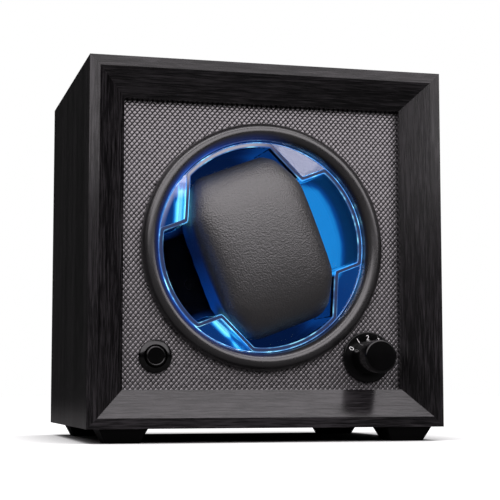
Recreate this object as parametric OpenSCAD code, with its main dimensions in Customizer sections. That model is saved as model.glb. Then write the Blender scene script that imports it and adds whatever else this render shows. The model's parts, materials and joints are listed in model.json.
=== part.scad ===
// Single watch winder: a square box whose front ring holds a clear, slowly turning cup with a pillow.
// Millimetres. Built with y = 0 on the cabinet's front edge (y grows to the rear), z = 0 on its underside
// and x = 0 in the middle. set_down() then moves it so that the origin is under the middle, on the floor.

/* [Cabinet] */
// Outer width
cab_w = 160; // [156:1:220]
// Outer height, without the feet
cab_h = 160; // [156:1:220]
// Outer depth
cab_d = 130; // [126:1:180]
// Thickness of the four outer boards
board_t = 4.5; // [3:0.5:6]
// Thickness of the back panel
back_t = 4; // [3:0.5:5]
// Depth of the back panel behind the boards' rear edges
back_recess = 1; // [1:0.5:3]
// Side of the square posts in the four inner corners
post_side = 10; // [8:1:12]

/* [Front frame] */
// Width of the bevelled strip inside the outer boards
frame_w = 12; // [9:0.5:13]
// Depth over which the strip slopes
bevel_d = 8.8; // [6:0.2:11]
// Depth of the panel's face behind the cabinet's front edge
panel_recess = 13.5; // [12:0.5:16]
// Thickness of the woven covering
covering_t = 0.6; // [0.4:0.1:1.2]
// Thickness of the front panel board
panel_t = 4; // [3:0.5:6]

/* [Bezel ring] */
// Gap between the ring and the frame strips
ring_margin = 8.2; // [7.6:0.1:9.5]
// Width of the ring's face
ring_w = 7.6; // [7:0.1:8]
// Height of the ring's crest over the panel
ring_crest = 6.5; // [6:0.1:9]
// Height of the ring's straight edge over the panel
ring_edge = 2; // [1:0.1:2.5]
// Thickness of the ring's collar that passes through the panel
collar_t = 1.8; // [1.5:0.1:2]
// Distance of the clamp screws from the ring's outer edge
clamp_inset = 2.7; // [2.4:0.1:2.8]

/* [Cup] */
// Angle at which the cup stands at rest
rotor_angle = 21; // [0:1:45]
// Gap between the cup's rim and the ring
rim_gap = 0.5; // [0.4:0.1:0.8]
// Thickness of the clear wall
cup_wall = 1.6; // [1.2:0.1:1.8]
// Width of the rim outside the wall
rim_w = 0.6; // [0.4:0.1:1]
// Thickness of the rim plate
rim_t = 2; // [1.5:0.1:3]
// Inside depth of the cup
cup_depth = 29.8; // [26:0.2:34]
// Thickness of the cup's floor
cup_floor_t = 2; // [1.8:0.1:3]
// Distance of the lobes' corners from the cavity's side, along the pillow
lobe_in_x = 17; // [15:0.5:20]
// Distance of the lobes' corners from the cavity's side, across the pillow
lobe_in_y = 23.5; // [21:0.5:27]
// Lean of the lobes' inner sides
lobe_lean = 24; // [15:1:28]

/* [Pillow] */
// Room between the pillow and the cavity's side, where a watch strap passes
strap_room = 5; // [3:0.5:9]
// How far the pillow's crest stands in front of the cabinet's front edge
pillow_proud = 1; // [0:0.5:3]
// How far the pillow's crest stands in front of the edges of its flat ends
crown_rise = 17; // [14:0.5:20]
// Gap between the pillow and the cup
pillow_gap = 0.3; // [0.2:0.1:0.6]
// Thickness of the pillow's cover
cover_t = 1.2; // [0.8:0.1:2]
// Furthest that the pillow is drawn out
pillow_pull = 50; // [44:1:60]

/* [Turntable and axle] */
// Gap between the turntable's edge and the LED board
table_gap = 4; // [3:0.5:6]
// Thickness of the turntable's disc
table_t = 3; // [2.5:0.5:3.5]
// Radius of the turntable's hub
hub_r = 10; // [8:0.5:11]
// Length of the turntable's hub with its disc
hub_len = 6; // [5.5:0.5:8]
// Distance of the cup screws from the turntable's edge
cup_screw_in = 7; // [5:0.5:8]
// Radius of the axle
axle_r = 3; // [2.5:0.25:3.5]
// Depth of the axle in the turntable's hub
axle_seat = 4.8; // [4:0.1:5]
// Radial running clearance of the axle and the motor shaft
run_gap = 0.05; // [0.02:0.01:0.08]
// Wall of a bronze bush
bush_wall = 1.95; // [1.5:0.05:2]
// Thickness of a bush's flange
flange_t = 0.9; // [0.7:0.1:1.2]
// Axial play at the bushes
end_play = 0.2; // [0.1:0.05:0.3]

/* [Rotor housing] */
// Wall of the bowl
bowl_wall = 1.7; // [1.5:0.1:1.8]
// How far the bowl's flange reaches beyond the ring
flange_over = 1.7; // [1.2:0.1:2.2]
// Thickness of the bowl's flange
bowl_flange_t = 2.5; // [2:0.1:4]
// Thickness of the bowl's floor
bowl_floor_t = 2.5; // [2:0.1:4]
// Wall of the bearing boss
boss_wall = 2.5; // [2:0.1:3]
// Length of the bearing boss behind the floor
boss_len = 5.5; // [4:0.5:8]

/* [Light] */
// Thickness of a circuit board
card_t = 1.6; // [1:0.1:2]
// Width of the ring-shaped LED board
led_band = 18; // [16:0.5:19]
// Gap between the LED board and the bowl
led_edge_gap = 4; // [3:0.5:6]
// Number of LEDs
led_count = 12; // [6:1:18]
// Side of an LED
led_side = 3.5; // [2.8:0.1:5]
// Height of an LED
led_h = 1.2; // [0.8:0.1:1.6]
// Height of the posts under the LED board
led_post_h = 1.5; // [1:0.1:2.5]

/* [Belt drive] */
// Groove radius of the drive pulley
big_groove_r = 33.6; // [30:0.2:36]
// Groove radius of the motor pulley
small_groove_r = 6; // [5:0.1:7]
// Height of a pulley's flange over its groove
groove_h = 2.4; // [2:0.1:3]
// Width of both pulleys
pulley_w = 6; // [5:0.5:8]
// Thickness of a pulley's flange
pulley_flange_t = 0.8; // [0.6:0.1:1]
// Thickness of the belt
belt_t = 1.2; // [0.8:0.1:1.5]
// Gap between the belt and its grooves
belt_gap = 0.3; // [0.2:0.05:0.4]
// Gap between the bowl's flange and the gearbox
motor_gap = 1.2; // [0.9:0.1:4]
// Direction of the motor from the rotor's axis
motor_dir = 45; // [40:1:50]
// Radius of the gearbox
gearbox_r = 12.5; // [10:0.5:13]
// Length of the gearbox
gearbox_len = 15; // [12:0.5:18]
// Radius of the motor can
can_r = 12; // [9:0.5:12.5]
// Length of the motor can
can_len = 16.5; // [12:0.5:17]
// Radius of the motor shaft
shaft_r = 2; // [1.5:0.25:2.5]
// Thickness of the motor bracket
bracket_t = 1.5; // [1:0.1:2.5]

/* [Controls] */
// Gap between the dial and the frame's side strip
dial_side_gap = 3.55; // [2:0.05:4]
// Gap between the dial and the frame's bottom strip
dial_foot_gap = 3.05; // [2:0.05:4]
// Radius of the button's bezel
button_r = 7.35; // [7:0.05:8]
// Radius of the button's cap
cap_r = 4.65; // [4.2:0.05:4.9]
// Gap round the cap
cap_gap = 0.3; // [0.2:0.05:0.4]
// Height of the button's bezel over the panel
button_proud = 2.5; // [2:0.1:4]
// Travel of the button
button_travel = 2; // [1:0.1:2.5]
// Radius of the knob's numbered dial
dial_r = 11.45; // [10.5:0.05:12]
// Thickness of the dial
dial_t = 2.5; // [2:0.1:3]
// Radius of the knob
knob_r = 7.3; // [7:0.05:8]
// Height of the knob's face over the panel
knob_proud = 20; // [18:0.5:22]
// Angle between two positions of the knob
knob_step = 30; // [20:5:30]
// Radius of the rotary switch's spindle
spindle_r = 3; // [2.5:0.05:3]

/* [Feet] */
// Height of a foot
foot_h = 6.2; // [5:0.1:10]
// Width of a foot's top
foot_w = 21; // [18:0.5:24]
// Depth of a foot's top
foot_d = 20; // [18:0.5:24]
// How far each side of a foot slopes in
foot_taper = 3.1; // [1:0.1:4]
// Distance of a foot from the cabinet's side
foot_side = 5.5; // [3:0.5:10]
// Distance of the front feet from the front edge
foot_front = 1; // [0.5:0.5:10]
// Distance of the rear feet from the rear edge
foot_rear = 9; // [1:0.5:12]

/* [Electrics] */
// Width of the control board
board_w = 70; // [60:1:80]
// Depth of the control board
board_d = 40; // [36:1:42]
// Height of the control board's standoffs
standoff_h = 6; // [4:0.5:8]
// Distance of the power inlet from the cabinet's side
inlet_side = 30; // [26:1:36]
// Height of the power inlet over the cabinet's underside
inlet_z = 30; // [26:1:40]
// Radius of the power inlet's threaded barrel
inlet_r = 4; // [3.8:0.1:4.5]
// Radius of the power inlet's socket
socket_r = 2.75; // [2.6:0.05:3]
// Radius of a lead
lead_r = 1.1; // [0.8:0.1:1.3]

/* [Screws] */
// Radius of a screw's thread
thread_r = 1.4; // [1.2:0.05:1.5]
// Radius of a screw's clearance hole
hole_r = 1.6; // [1.55:0.05:1.7]
// Radius of a screw's head
head_r = 2.5; // [2.3:0.1:2.5]
// Height of a screw's head
head_h = 1.7; // [1.2:0.1:1.8]

/* [Hidden] */
$fn = 64;

// Colours
ash = [0.10, 0.095, 0.10];
weave_grey = [0.45, 0.44, 0.46];
black_plastic = [0.06, 0.06, 0.065];
clear_blue = [0.45, 0.70, 0.95, 0.45];
leatherette = [0.20, 0.20, 0.21];
steel = [0.70, 0.71, 0.73];
bronze = [0.72, 0.52, 0.28];
rubber_black = [0.03, 0.03, 0.03];
board_green = [0.05, 0.30, 0.15];

// Cabinet and panel
mid_z = cab_h / 2;
inner_w = cab_w - 2 * board_t;
inner_h = cab_h - 2 * board_t;
covering_back = panel_recess + covering_t;
panel_back = covering_back + panel_t;
back_front_y = cab_d - back_recess - back_t;
back_rear_y = cab_d - back_recess;
side_x = inner_w / 2;
post_x = side_x - post_side / 2;
post_z = inner_h / 2 - post_side / 2;
fit_gap = 0.3;
board_rear_gap = 10;
led_shift = 3;
led_screw_in = 3.5;
led_screw_bite = 0.5;
standoff_screw_bite = 3;

// Ring, cup and pillow
ring_r = min(inner_w, inner_h) / 2 - frame_w - ring_margin;
clamp_pcd_r = ring_r - clamp_inset;
ring_in_r = ring_r - ring_w;
collar_r = ring_in_r + collar_t;
rim_r = ring_in_r - rim_gap;
cup_r = rim_r - rim_w;
cavity_r = cup_r - cup_wall;
lobe_x = cavity_r - lobe_in_x;
lobe_y = cavity_r - lobe_in_y;
pillow_half = cavity_r - strap_room;
cup_floor_y = panel_recess + cup_depth;
cup_back_y = cup_floor_y + cup_floor_t;
pillow_back_y = cup_floor_y - pillow_gap;
pillow_deep = pillow_back_y + pillow_proud;
pillow_mid_y = pillow_back_y - pillow_deep / 2;

// Stack behind the cup, from front to rear
table_rear_y = cup_back_y + table_t;
hub_rear_y = cup_back_y + hub_len;
bush_r = axle_r + run_gap + bush_wall;
bush_flange_r = bush_r + 1.5;
boss_front_y = hub_rear_y + end_play + flange_t;
boss_r = bush_r + boss_wall;
bowl_floor_y = boss_front_y + 0.6;
bowl_back_y = bowl_floor_y + bowl_floor_t;
boss_rear_y = bowl_back_y + boss_len;
bowl_in_r = collar_r - bowl_wall + 0.2;
bowl_r = bowl_in_r + bowl_wall;
led_back_y = bowl_floor_y - led_post_h;
led_front_y = led_back_y - card_t;
led_out_r = bowl_in_r - led_edge_gap;
led_in_r = led_out_r - led_band;
table_r = led_in_r - table_gap;
cup_pcd_r = table_r - cup_screw_in;
led_mid_r = (led_in_r + led_out_r) / 2;
led_chip_r = led_mid_r + led_shift;
led_screw_r = led_in_r + led_screw_in;
bowl_flange_r = ring_r + flange_over;
bracket_rear_y = bowl_back_y + bracket_t;
pulley_y = boss_rear_y + flange_t + end_play;
pulley_end_y = pulley_y + pulley_w;
pulley_hub_len = 2;
clip_t = 0.8;
clip_y = pulley_end_y + pulley_hub_len;
axle_end_y = clip_y + clip_t + 1.2;
motor_reach = bowl_flange_r + gearbox_r + motor_gap;
motor_x = motor_reach * cos(motor_dir);
motor_z = mid_z + motor_reach * sin(motor_dir);
gearbox_y = bowl_back_y - gearbox_len;
can_y = gearbox_y - can_len;

// Controls
control_dx = side_x - frame_w - dial_side_gap - dial_r;
control_z = mid_z - inner_h / 2 + frame_w + dial_foot_gap + dial_r;
button_x = -control_dx;
knob_x = control_dx;
button_bore_r = cap_r + cap_gap;
barrel_r = button_bore_r + 1.05;
button_front_y = panel_recess - button_proud;
shelf_y = panel_back + 3.9;
shelf_t = 4;
stem_r = 2.5;
spring_room = 7;
cap_skirt_y = shelf_y - spring_room;
barrel_end_y = shelf_y + shelf_t;
collar_len = 1;
nut_t = 3;
dial_face_y = panel_recess - dial_t;
knob_face_y = panel_recess - knob_proud;
switch_bush_r = spindle_r + run_gap + 0.45;
knob_cavity_y = dial_face_y - 4;
knob_nut_t = 2.2;
switch_r = 10.5;
switch_len = 11;

// Electrics
inlet_dx = cab_w / 2 - inlet_side;
board_y = back_front_y - board_d - board_rear_gap;
board_z = board_t + standoff_h;
standoff_r = 3;
standoff_inset = 5;
connector_gap = 1.5;
connector_w = 8;
connector_d = 6;
connector_h = 6;
connector_y = board_y + 1;
connector_z = board_z + card_t;
lead_z = connector_z + connector_h / 2;
connector_pitch = (board_w / 2 - standoff_inset - head_r - connector_gap - connector_w / 2) / 2;

// The model's reach in y, which set_down() centres on the origin
front_y = min(knob_face_y, -pillow_proud, 0);
middle_y = (front_y + cab_d) / 2;

// ---- Placing ----

module set_down() {
    translate([0, -middle_y, foot_h]) children();
}

// A flat outline drawn in x and z, from y0 to y1
module slab(y0, y1) {
    translate([0, y1, 0]) rotate([90, 0, 0]) linear_extrude(height = y1 - y0) children();
}

// A profile drawn as radius and y, turned round an axis along y
module turned(x, z) {
    translate([x, 0, z]) rotate([-90, 0, 0]) rotate_extrude() children();
}

// A round rod along y
module rod(x, z, y0, y1, r) {
    translate([x, y0, z]) rotate([-90, 0, 0]) cylinder(r = r, h = y1 - y0);
}

// The cup's own directions: x along the pillow, z across it
module turned_to_rest() {
    translate([0, 0, mid_z]) rotate([0, -rotor_angle, 0]) children();
}

// Copies on a circle round the y axis, in x and z
module on_circle(r, count, start) {
    for (i = [0 : count - 1])
        rotate([0, -(start + i * 360 / count), 0]) translate([r, 0, 0]) children();
}

// ---- Fasteners: the thread runs down from z = 0 and the head stands on it ----

module cross_slot(top, deep) {
    for (turn = [0, 90])
        rotate([0, 0, turn]) translate([-head_r * 0.6, -0.35, top - deep]) cube([head_r * 1.2, 0.7, deep + 1]);
}

module pan_screw(len) {
    difference() {
        union() {
            translate([0, 0, -len]) cylinder(r = thread_r, h = len);
            cylinder(r = head_r, h = head_h);
        }
        cross_slot(head_h, 0.9);
    }
}

module flat_screw(len) {
    difference() {
        union() {
            translate([0, 0, -len]) cylinder(r = thread_r, h = len);
            translate([0, 0, -head_h]) cylinder(r1 = thread_r, r2 = head_r, h = head_h);
        }
        cross_slot(0, 0.9);
    }
}

module flat_screw_hole(len) {
    translate([0, 0, -len]) cylinder(r = hole_r, h = len);
    translate([0, 0, -head_h]) cylinder(r1 = hole_r, r2 = head_r + hole_r - thread_r, h = head_h);
}

module hex_nut(across_r, bore_r, t) {
    difference() {
        cylinder(r = across_r, h = t, $fn = 6);
        translate([0, 0, -1]) cylinder(r = bore_r, h = t + 2);
    }
}

// ---- Cabinet ----

// One side of a mitred square frame: half_w and half_h reach its outer edge, t is its width
module mitred_side(half_w, half_h, t) {
    polygon([[-half_w, half_h], [half_w, half_h], [half_w - t, half_h - t], [-half_w + t, half_h - t]]);
}

module board(turn, half_across, half_out) {
    slab(0, cab_d) translate([0, mid_z]) rotate(turn) mitred_side(half_across, half_out, board_t);
}

// Places where the four feet are screwed on: x, y
foot_x = cab_w / 2 - foot_side - foot_w / 2;
foot_front_y = foot_front + foot_d / 2;
foot_rear_y = cab_d - foot_rear - foot_d / 2;
foot_places = [
    [-foot_x, foot_front_y], [foot_x, foot_front_y], [-foot_x, foot_rear_y], [foot_x, foot_rear_y]
];
foot_thread = 3.5;
foot_bore_r = head_r + 0.7;
foot_bore_h = head_h + 0.8;

module cabinet_top_board() {
    color(ash) set_down() board(0, cab_w / 2, cab_h / 2);
}

module cabinet_bottom_board() {
    color(ash) set_down() difference() {
        board(180, cab_w / 2, cab_h / 2);
        for (p = foot_places)
            translate([p[0], p[1], -1]) cylinder(r = thread_r, h = 1 + foot_thread);
        for (p = board_corners)
            translate([p[0], p[1], board_t - 3]) cylinder(r = thread_r, h = 4);
    }
}

module cabinet_left_board() {
    color(ash) set_down() board(90, cab_h / 2, cab_w / 2);
}

module cabinet_right_board() {
    color(ash) set_down() board(-90, cab_h / 2, cab_w / 2);
}

back_thread = 9;

module corner_posts() {
    color("tan") set_down() difference() {
        for (sx = [-1, 1], sz = [-1, 1])
            translate([sx * post_x - post_side / 2, panel_back, mid_z + sz * post_z - post_side / 2])
                cube([post_side, back_front_y - panel_back, post_side]);
        for (sx = [-1, 1], sz = [-1, 1])
            rod(sx * post_x, mid_z + sz * post_z, back_front_y - back_thread, back_front_y + 1, thread_r);
    }
}

module back_panel() {
    color([0.08, 0.08, 0.08]) set_down() difference() {
        slab(back_front_y, back_rear_y)
            translate([0, mid_z]) square([inner_w - 0.4, inner_h - 0.4], center = true);
        for (sx = [-1, 1], sz = [-1, 1])
            translate([sx * post_x, back_rear_y, mid_z + sz * post_z]) rotate([-90, 0, 0])
                flat_screw_hole(back_t + 1);
        rod(-inlet_dx, inlet_z, back_front_y - 1, back_rear_y + 1, inlet_r + 0.15);
    }
}

module back_panel_screws() {
    color("dimgray") set_down()
        for (sx = [-1, 1], sz = [-1, 1])
            translate([sx * post_x, back_rear_y, mid_z + sz * post_z]) rotate([-90, 0, 0])
                flat_screw(back_t + back_thread);
}

// ---- Front frame and panel ----

// A bevelled strip along x, at the top of the frame; half_out reaches the strip's outer edge
module bevelled_strip(half_across, half_out) {
    intersection() {
        translate([-half_across, 0, 0]) rotate([90, 0, 90]) linear_extrude(height = 2 * half_across)
            polygon([
                [0, half_out], [bevel_d, half_out - frame_w], [panel_recess, half_out - frame_w],
                [panel_recess, half_out]
            ]);
        slab(-1, panel_recess + 1) mitred_side(half_across, half_out, frame_w + 1);
    }
}

module frame_side(turn, half_across, half_out) {
    translate([0, 0, mid_z]) rotate([0, -turn, 0]) bevelled_strip(half_across, half_out);
}

module frame_moulding_top() {
    color(ash) set_down() frame_side(0, inner_w / 2, inner_h / 2);
}

module frame_moulding_bottom() {
    color([0.30, 0.29, 0.30]) set_down() frame_side(180, inner_w / 2, inner_h / 2);
}

module frame_moulding_left() {
    color(ash) set_down() frame_side(90, inner_h / 2, inner_w / 2);
}

module frame_moulding_right() {
    color(ash) set_down() frame_side(-90, inner_h / 2, inner_w / 2);
}

// The panel's outline with the openings that the ring, the screws and the controls need
module panel_outline() {
    difference() {
        translate([0, mid_z]) square([inner_w, inner_h], center = true);
        translate([0, mid_z]) circle(r = collar_r + fit_gap);
        translate([0, mid_z])
            for (a = [45 : 90 : 315])
                rotate(a) translate([clamp_pcd_r, 0]) circle(r = hole_r);
        translate([button_x, control_z]) circle(r = barrel_r + 0.2);
        translate([knob_x, control_z]) circle(r = switch_bush_r + 0.2);
    }
}

module front_panel_board() {
    color("saddlebrown") set_down() slab(covering_back, panel_back) panel_outline();
}

module front_panel_covering() {
    color(weave_grey) set_down() slab(panel_recess, covering_back) panel_outline();
}

// ---- Feet ----

module foot(place) {
    top_w = foot_w / 2;
    top_d = foot_d / 2;
    low_w = top_w - foot_taper;
    low_d = top_d - foot_taper;
    color(black_plastic) set_down() translate([place[0], place[1], 0]) difference() {
        polyhedron(
            points = [
                [-low_w, -low_d, -foot_h], [low_w, -low_d, -foot_h], [low_w, low_d, -foot_h],
                [-low_w, low_d, -foot_h], [-top_w, -top_d, 0], [top_w, -top_d, 0],
                [top_w, top_d, 0], [-top_w, top_d, 0]
            ],
            faces = [[0, 1, 2, 3], [7, 6, 5, 4], [4, 5, 1, 0], [5, 6, 2, 1], [6, 7, 3, 2], [7, 4, 0, 3]]
        );
        translate([0, 0, -foot_h - 1]) cylinder(r = hole_r, h = foot_h + 2);
        translate([0, 0, -foot_h - 1]) cylinder(r = foot_bore_r, h = 1 + foot_bore_h);
    }
}

module foot_front_left() { foot(foot_places[0]); }
module foot_front_right() { foot(foot_places[1]); }
module foot_rear_left() { foot(foot_places[2]); }
module foot_rear_right() { foot(foot_places[3]); }

module foot_screws() {
    color("dimgray") set_down()
        for (p = foot_places)
            translate([p[0], p[1], foot_bore_h - foot_h]) rotate([180, 0, 0])
                pan_screw(foot_h - foot_bore_h + foot_thread);
}

// ---- Ring and housing ----

ring_mid_r = ring_r - ring_w / 2;
ring_base_y = panel_recess - ring_edge;
ring_dome = ring_crest - ring_edge;
clamp_depth = 3.2;

module bezel_ring() {
    color(black_plastic) set_down() difference() {
        turned(0, mid_z) polygon(concat(
            [for (a = [0 : 12 : 180])
                [ring_mid_r + ring_w / 2 * cos(a), ring_base_y - ring_dome * sin(a)]],
            [[ring_in_r, panel_back], [collar_r, panel_back], [collar_r, panel_recess], [ring_r, panel_recess]]
        ));
        translate([0, 0, mid_z]) on_circle(clamp_pcd_r, 4, 45)
            rod(0, 0, panel_recess - clamp_depth, panel_recess + 1, thread_r);
    }
}

led_post_places = [90, 210, 330];
led_post_r = 2.6;
lead_hole_r = lead_r + 0.4;
lead_exit_r = led_out_r - 5;

module rotor_housing() {
    color(black_plastic) set_down() difference() {
        union() {
            turned(0, mid_z) polygon([
                [bowl_in_r, panel_back], [bowl_flange_r, panel_back],
                [bowl_flange_r, panel_back + bowl_flange_t], [bowl_r, panel_back + bowl_flange_t],
                [bowl_r, bowl_back_y], [boss_r, bowl_back_y], [boss_r, boss_rear_y], [bush_r, boss_rear_y],
                [bush_r, boss_front_y], [boss_r, boss_front_y], [boss_r, bowl_floor_y],
                [bowl_in_r, bowl_floor_y]
            ]);
            translate([0, 0, mid_z])
                for (a = led_post_places)
                    on_circle(led_screw_r, 1, a) rod(0, 0, led_back_y, bowl_floor_y + 1, led_post_r);
        }
        translate([0, 0, mid_z]) on_circle(clamp_pcd_r, 4, 45)
            rod(0, 0, panel_back - 1, panel_back + bowl_flange_t + 1, hole_r);
        translate([0, 0, mid_z])
            for (a = led_post_places)
                on_circle(led_screw_r, 1, a) rod(0, 0, led_back_y - 1, bowl_floor_y + 1, thread_r);
        translate([0, 0, mid_z])
            for (p = bracket_screw_places)
                rotate([0, -motor_dir, 0]) rod(p[0], p[1], bowl_floor_y - 1, bowl_back_y + 1, thread_r);
        rod(0, mid_z - lead_exit_r, bowl_floor_y - 1, bowl_back_y + 1, lead_hole_r);
    }
}

module rotor_housing_screws() {
    color(steel) set_down() translate([0, 0, mid_z]) on_circle(clamp_pcd_r, 4, 45)
        translate([0, panel_back + bowl_flange_t, 0]) rotate([-90, 0, 0])
            pan_screw(bowl_flange_t + panel_t + covering_t + clamp_depth);
}

// ---- Light ----

module led_board() {
    color([0.05, 0.05, 0.06]) set_down() difference() {
        slab(led_front_y, led_back_y) translate([0, mid_z]) difference() {
            circle(r = led_out_r);
            circle(r = led_in_r);
        }
        translate([0, 0, mid_z])
            for (a = led_post_places)
                on_circle(led_screw_r, 1, a) rod(0, 0, led_front_y - 1, led_back_y + 1, hole_r);
    }
}

module led_chips() {
    color("deepskyblue") set_down() translate([0, 0, mid_z])
        on_circle(led_chip_r, led_count, 360 / led_count / 2)
            translate([-led_side / 2, led_front_y - led_h, -led_side / 2]) cube([led_side, led_h, led_side]);
}

module led_board_screws() {
    color("dimgray") set_down() translate([0, 0, mid_z])
        for (a = led_post_places)
            on_circle(led_screw_r, 1, a) translate([0, led_front_y, 0]) rotate([90, 0, 0])
                pan_screw(card_t + led_post_h + led_screw_bite);
}

// ---- Cup ----

// The space inside the cup: a disc less its four corner lobes, all grown by e
module cup_space(e) {
    lean_w = e / cos(lobe_lean);
    far = 60;
    near_x = lobe_x + lean_w;
    far_x = lobe_x - (far - lobe_y) * tan(lobe_lean) + lean_w;
    intersection() {
        circle(r = cavity_r + e);
        union() {
            square([3 * cavity_r, 2 * (lobe_y + e)], center = true);
            polygon([
                [near_x, lobe_y], [far_x, far], [-far_x, far], [-near_x, lobe_y],
                [-near_x, -lobe_y], [-far_x, -far], [far_x, -far], [near_x, -lobe_y]
            ]);
        }
    }
}

module clear_cup() {
    color(clear_blue) set_down() turned_to_rest() difference() {
        union() {
            slab(panel_recess, panel_recess + rim_t) circle(r = rim_r);
            slab(panel_recess, cup_back_y) cup_space(cup_wall);
        }
        slab(panel_recess - 1, cup_floor_y) cup_space(0);
        on_circle(cup_pcd_r, 3, 90) translate([0, cup_floor_y, 0]) rotate([90, 0, 0])
            flat_screw_hole(cup_floor_t + 1);
    }
}

// ---- Pillow ----

pillow_lobe = 2.25;

// One corner of the pillow's rounded section at angle a, shrunk by e
function oval_point(a, e) = let (
    u = cos(a),
    w = sin(a),
    half_z = pillow_half - e,
    half_y = pillow_deep / 2 - e
) [
    half_y * sign(w) * pow(abs(w), 2 / pillow_lobe),
    half_z * sign(u) * pow(abs(u), 2 / pillow_lobe)
];

// The pillow's body, shrunk by e: an oval along x, crowned between its ends and cut to the outline
// between the lobes
module pillow_body(e) {
    lean_w = (pillow_gap + e) / cos(lobe_lean);
    end_x = lobe_x - pillow_gap - e;
    far = 60;
    far_x = lobe_x - (far - lobe_y) * tan(lobe_lean) - lean_w;
    wide_y = lobe_y + (lobe_x - lean_w - end_x) / tan(lobe_lean);
    intersection() {
        translate([-end_x, pillow_mid_y, 0]) rotate([90, 0, 90]) linear_extrude(height = 2 * end_x)
            polygon([for (a = [3 : 6 : 357]) oval_point(a, e)]);
        translate([0, 0, -pillow_half]) linear_extrude(height = 2 * pillow_half) polygon(concat(
            [for (a = [0 : 10 : 180]) [end_x * cos(a), crown_rise - pillow_proud - (crown_rise - e) * sin(a)]],
            [[-end_x, cup_floor_y], [end_x, cup_floor_y]]
        ));
        slab(-pillow_proud - 5, cup_floor_y) polygon([
            [end_x, wide_y], [far_x, far], [-far_x, far], [-end_x, wide_y],
            [-end_x, -wide_y], [-far_x, -far], [far_x, -far], [end_x, -wide_y]
        ]);
    }
}

module pillow_cover() {
    color(leatherette) set_down() turned_to_rest() difference() {
        pillow_body(0);
        pillow_body(cover_t);
    }
}

module pillow_core() {
    color("khaki") set_down() turned_to_rest() pillow_body(cover_t + 0.1);
}

// ---- Turntable, axle and bushes ----

module turntable() {
    color(black_plastic) set_down() difference() {
        turned(0, mid_z) polygon([
            [0, cup_back_y], [table_r, cup_back_y], [table_r, table_rear_y], [hub_r, table_rear_y],
            [hub_r, hub_rear_y], [axle_r, hub_rear_y], [axle_r, hub_rear_y - axle_seat],
            [0, hub_rear_y - axle_seat]
        ]);
        turned_to_rest() on_circle(cup_pcd_r, 3, 90) rod(0, 0, cup_back_y - 1, hub_rear_y + 1, thread_r);
    }
}

module cup_screws() {
    color(steel) set_down() turned_to_rest() on_circle(cup_pcd_r, 3, 90)
        translate([0, cup_floor_y, 0]) rotate([90, 0, 0]) flat_screw(cup_floor_t + table_t);
}

module rotor_axle() {
    color(steel) set_down() rod(0, mid_z, hub_rear_y - axle_seat, axle_end_y, axle_r);
}

// A flanged bush; its flange is at y0 and its sleeve runs to y1
module bush(y0, y1) {
    flange_end = y0 + sign(y1 - y0) * flange_t;
    turned(0, mid_z) polygon([
        [axle_r + run_gap, y0], [bush_flange_r, y0], [bush_flange_r, flange_end], [bush_r, flange_end],
        [bush_r, y1], [axle_r + run_gap, y1]
    ]);
}

module axle_bush_front() {
    color(bronze) set_down() bush(boss_front_y - flange_t, boss_front_y + 3);
}

module axle_bush_rear() {
    color(bronze) set_down() bush(boss_rear_y + flange_t, boss_rear_y - 4);
}

module axle_clip() {
    color(steel) set_down() difference() {
        turned(0, mid_z) polygon([
            [axle_r, clip_y], [axle_r + 2.4, clip_y], [axle_r + 2.4, clip_y + clip_t], [axle_r, clip_y + clip_t]
        ]);
        translate([-axle_r * 0.6, clip_y - 1, mid_z]) cube([axle_r * 1.2, clip_t + 2, axle_r + 5]);
    }
}

// ---- Belt drive ----

module drive_pulley() {
    rim_in = big_groove_r - 2.2;
    flange_r = big_groove_r + groove_h;
    hub_out = axle_r + 5;
    web_y = pulley_y + 1.8;
    web_end = pulley_end_y - 1.8;
    groove_y = pulley_y + pulley_flange_t;
    groove_end = pulley_end_y - pulley_flange_t;
    color(black_plastic) set_down() turned(0, mid_z) polygon([
        [axle_r, pulley_y], [hub_out, pulley_y], [hub_out, web_y], [rim_in, web_y], [rim_in, pulley_y],
        [flange_r, pulley_y], [flange_r, groove_y], [big_groove_r, groove_y], [big_groove_r, groove_end],
        [flange_r, groove_end], [flange_r, pulley_end_y], [rim_in, pulley_end_y], [rim_in, web_end],
        [hub_out, web_end], [hub_out, clip_y], [axle_r, clip_y]
    ]);
}

module motor_pulley() {
    flange_r = small_groove_r + groove_h;
    groove_y = pulley_y + pulley_flange_t;
    groove_end = pulley_end_y - pulley_flange_t;
    color("white") set_down() turned(motor_x, motor_z) polygon([
        [shaft_r, pulley_y], [flange_r, pulley_y], [flange_r, groove_y], [small_groove_r, groove_y],
        [small_groove_r, groove_end], [flange_r, groove_end], [flange_r, pulley_end_y], [shaft_r, pulley_end_y]
    ]);
}

// The belt's line at a height over both grooves: an arc round each pulley, joined by straight runs
function belt_line(over) = let (
    big = big_groove_r + over,
    small = small_groove_r + over,
    wrap = acos((big - small) / motor_reach),
    big_steps = 60,
    small_steps = 24
) concat(
    [for (i = [0 : big_steps]) let (a = motor_dir + wrap + i * (360 - 2 * wrap) / big_steps)
        [big * cos(a), big * sin(a)]],
    [for (i = [0 : small_steps]) let (a = motor_dir - wrap + i * 2 * wrap / small_steps)
        [motor_reach * cos(motor_dir) + small * cos(a), motor_reach * sin(motor_dir) + small * sin(a)]]
);

module drive_belt() {
    edge = pulley_flange_t + belt_gap;
    color(rubber_black) set_down()
        slab(pulley_y + edge, pulley_end_y - edge) translate([0, mid_z]) difference() {
            polygon(belt_line(belt_gap + belt_t));
            polygon(belt_line(belt_gap));
        }
}

gearbox_boss_r = 3.5;
motor_screw_dx = 8.5;
motor_thread = 3;

module motor_shaft() {
    color(steel) set_down() rod(motor_x, motor_z, gearbox_y + 4.2, pulley_end_y + 1, shaft_r);
}

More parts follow.
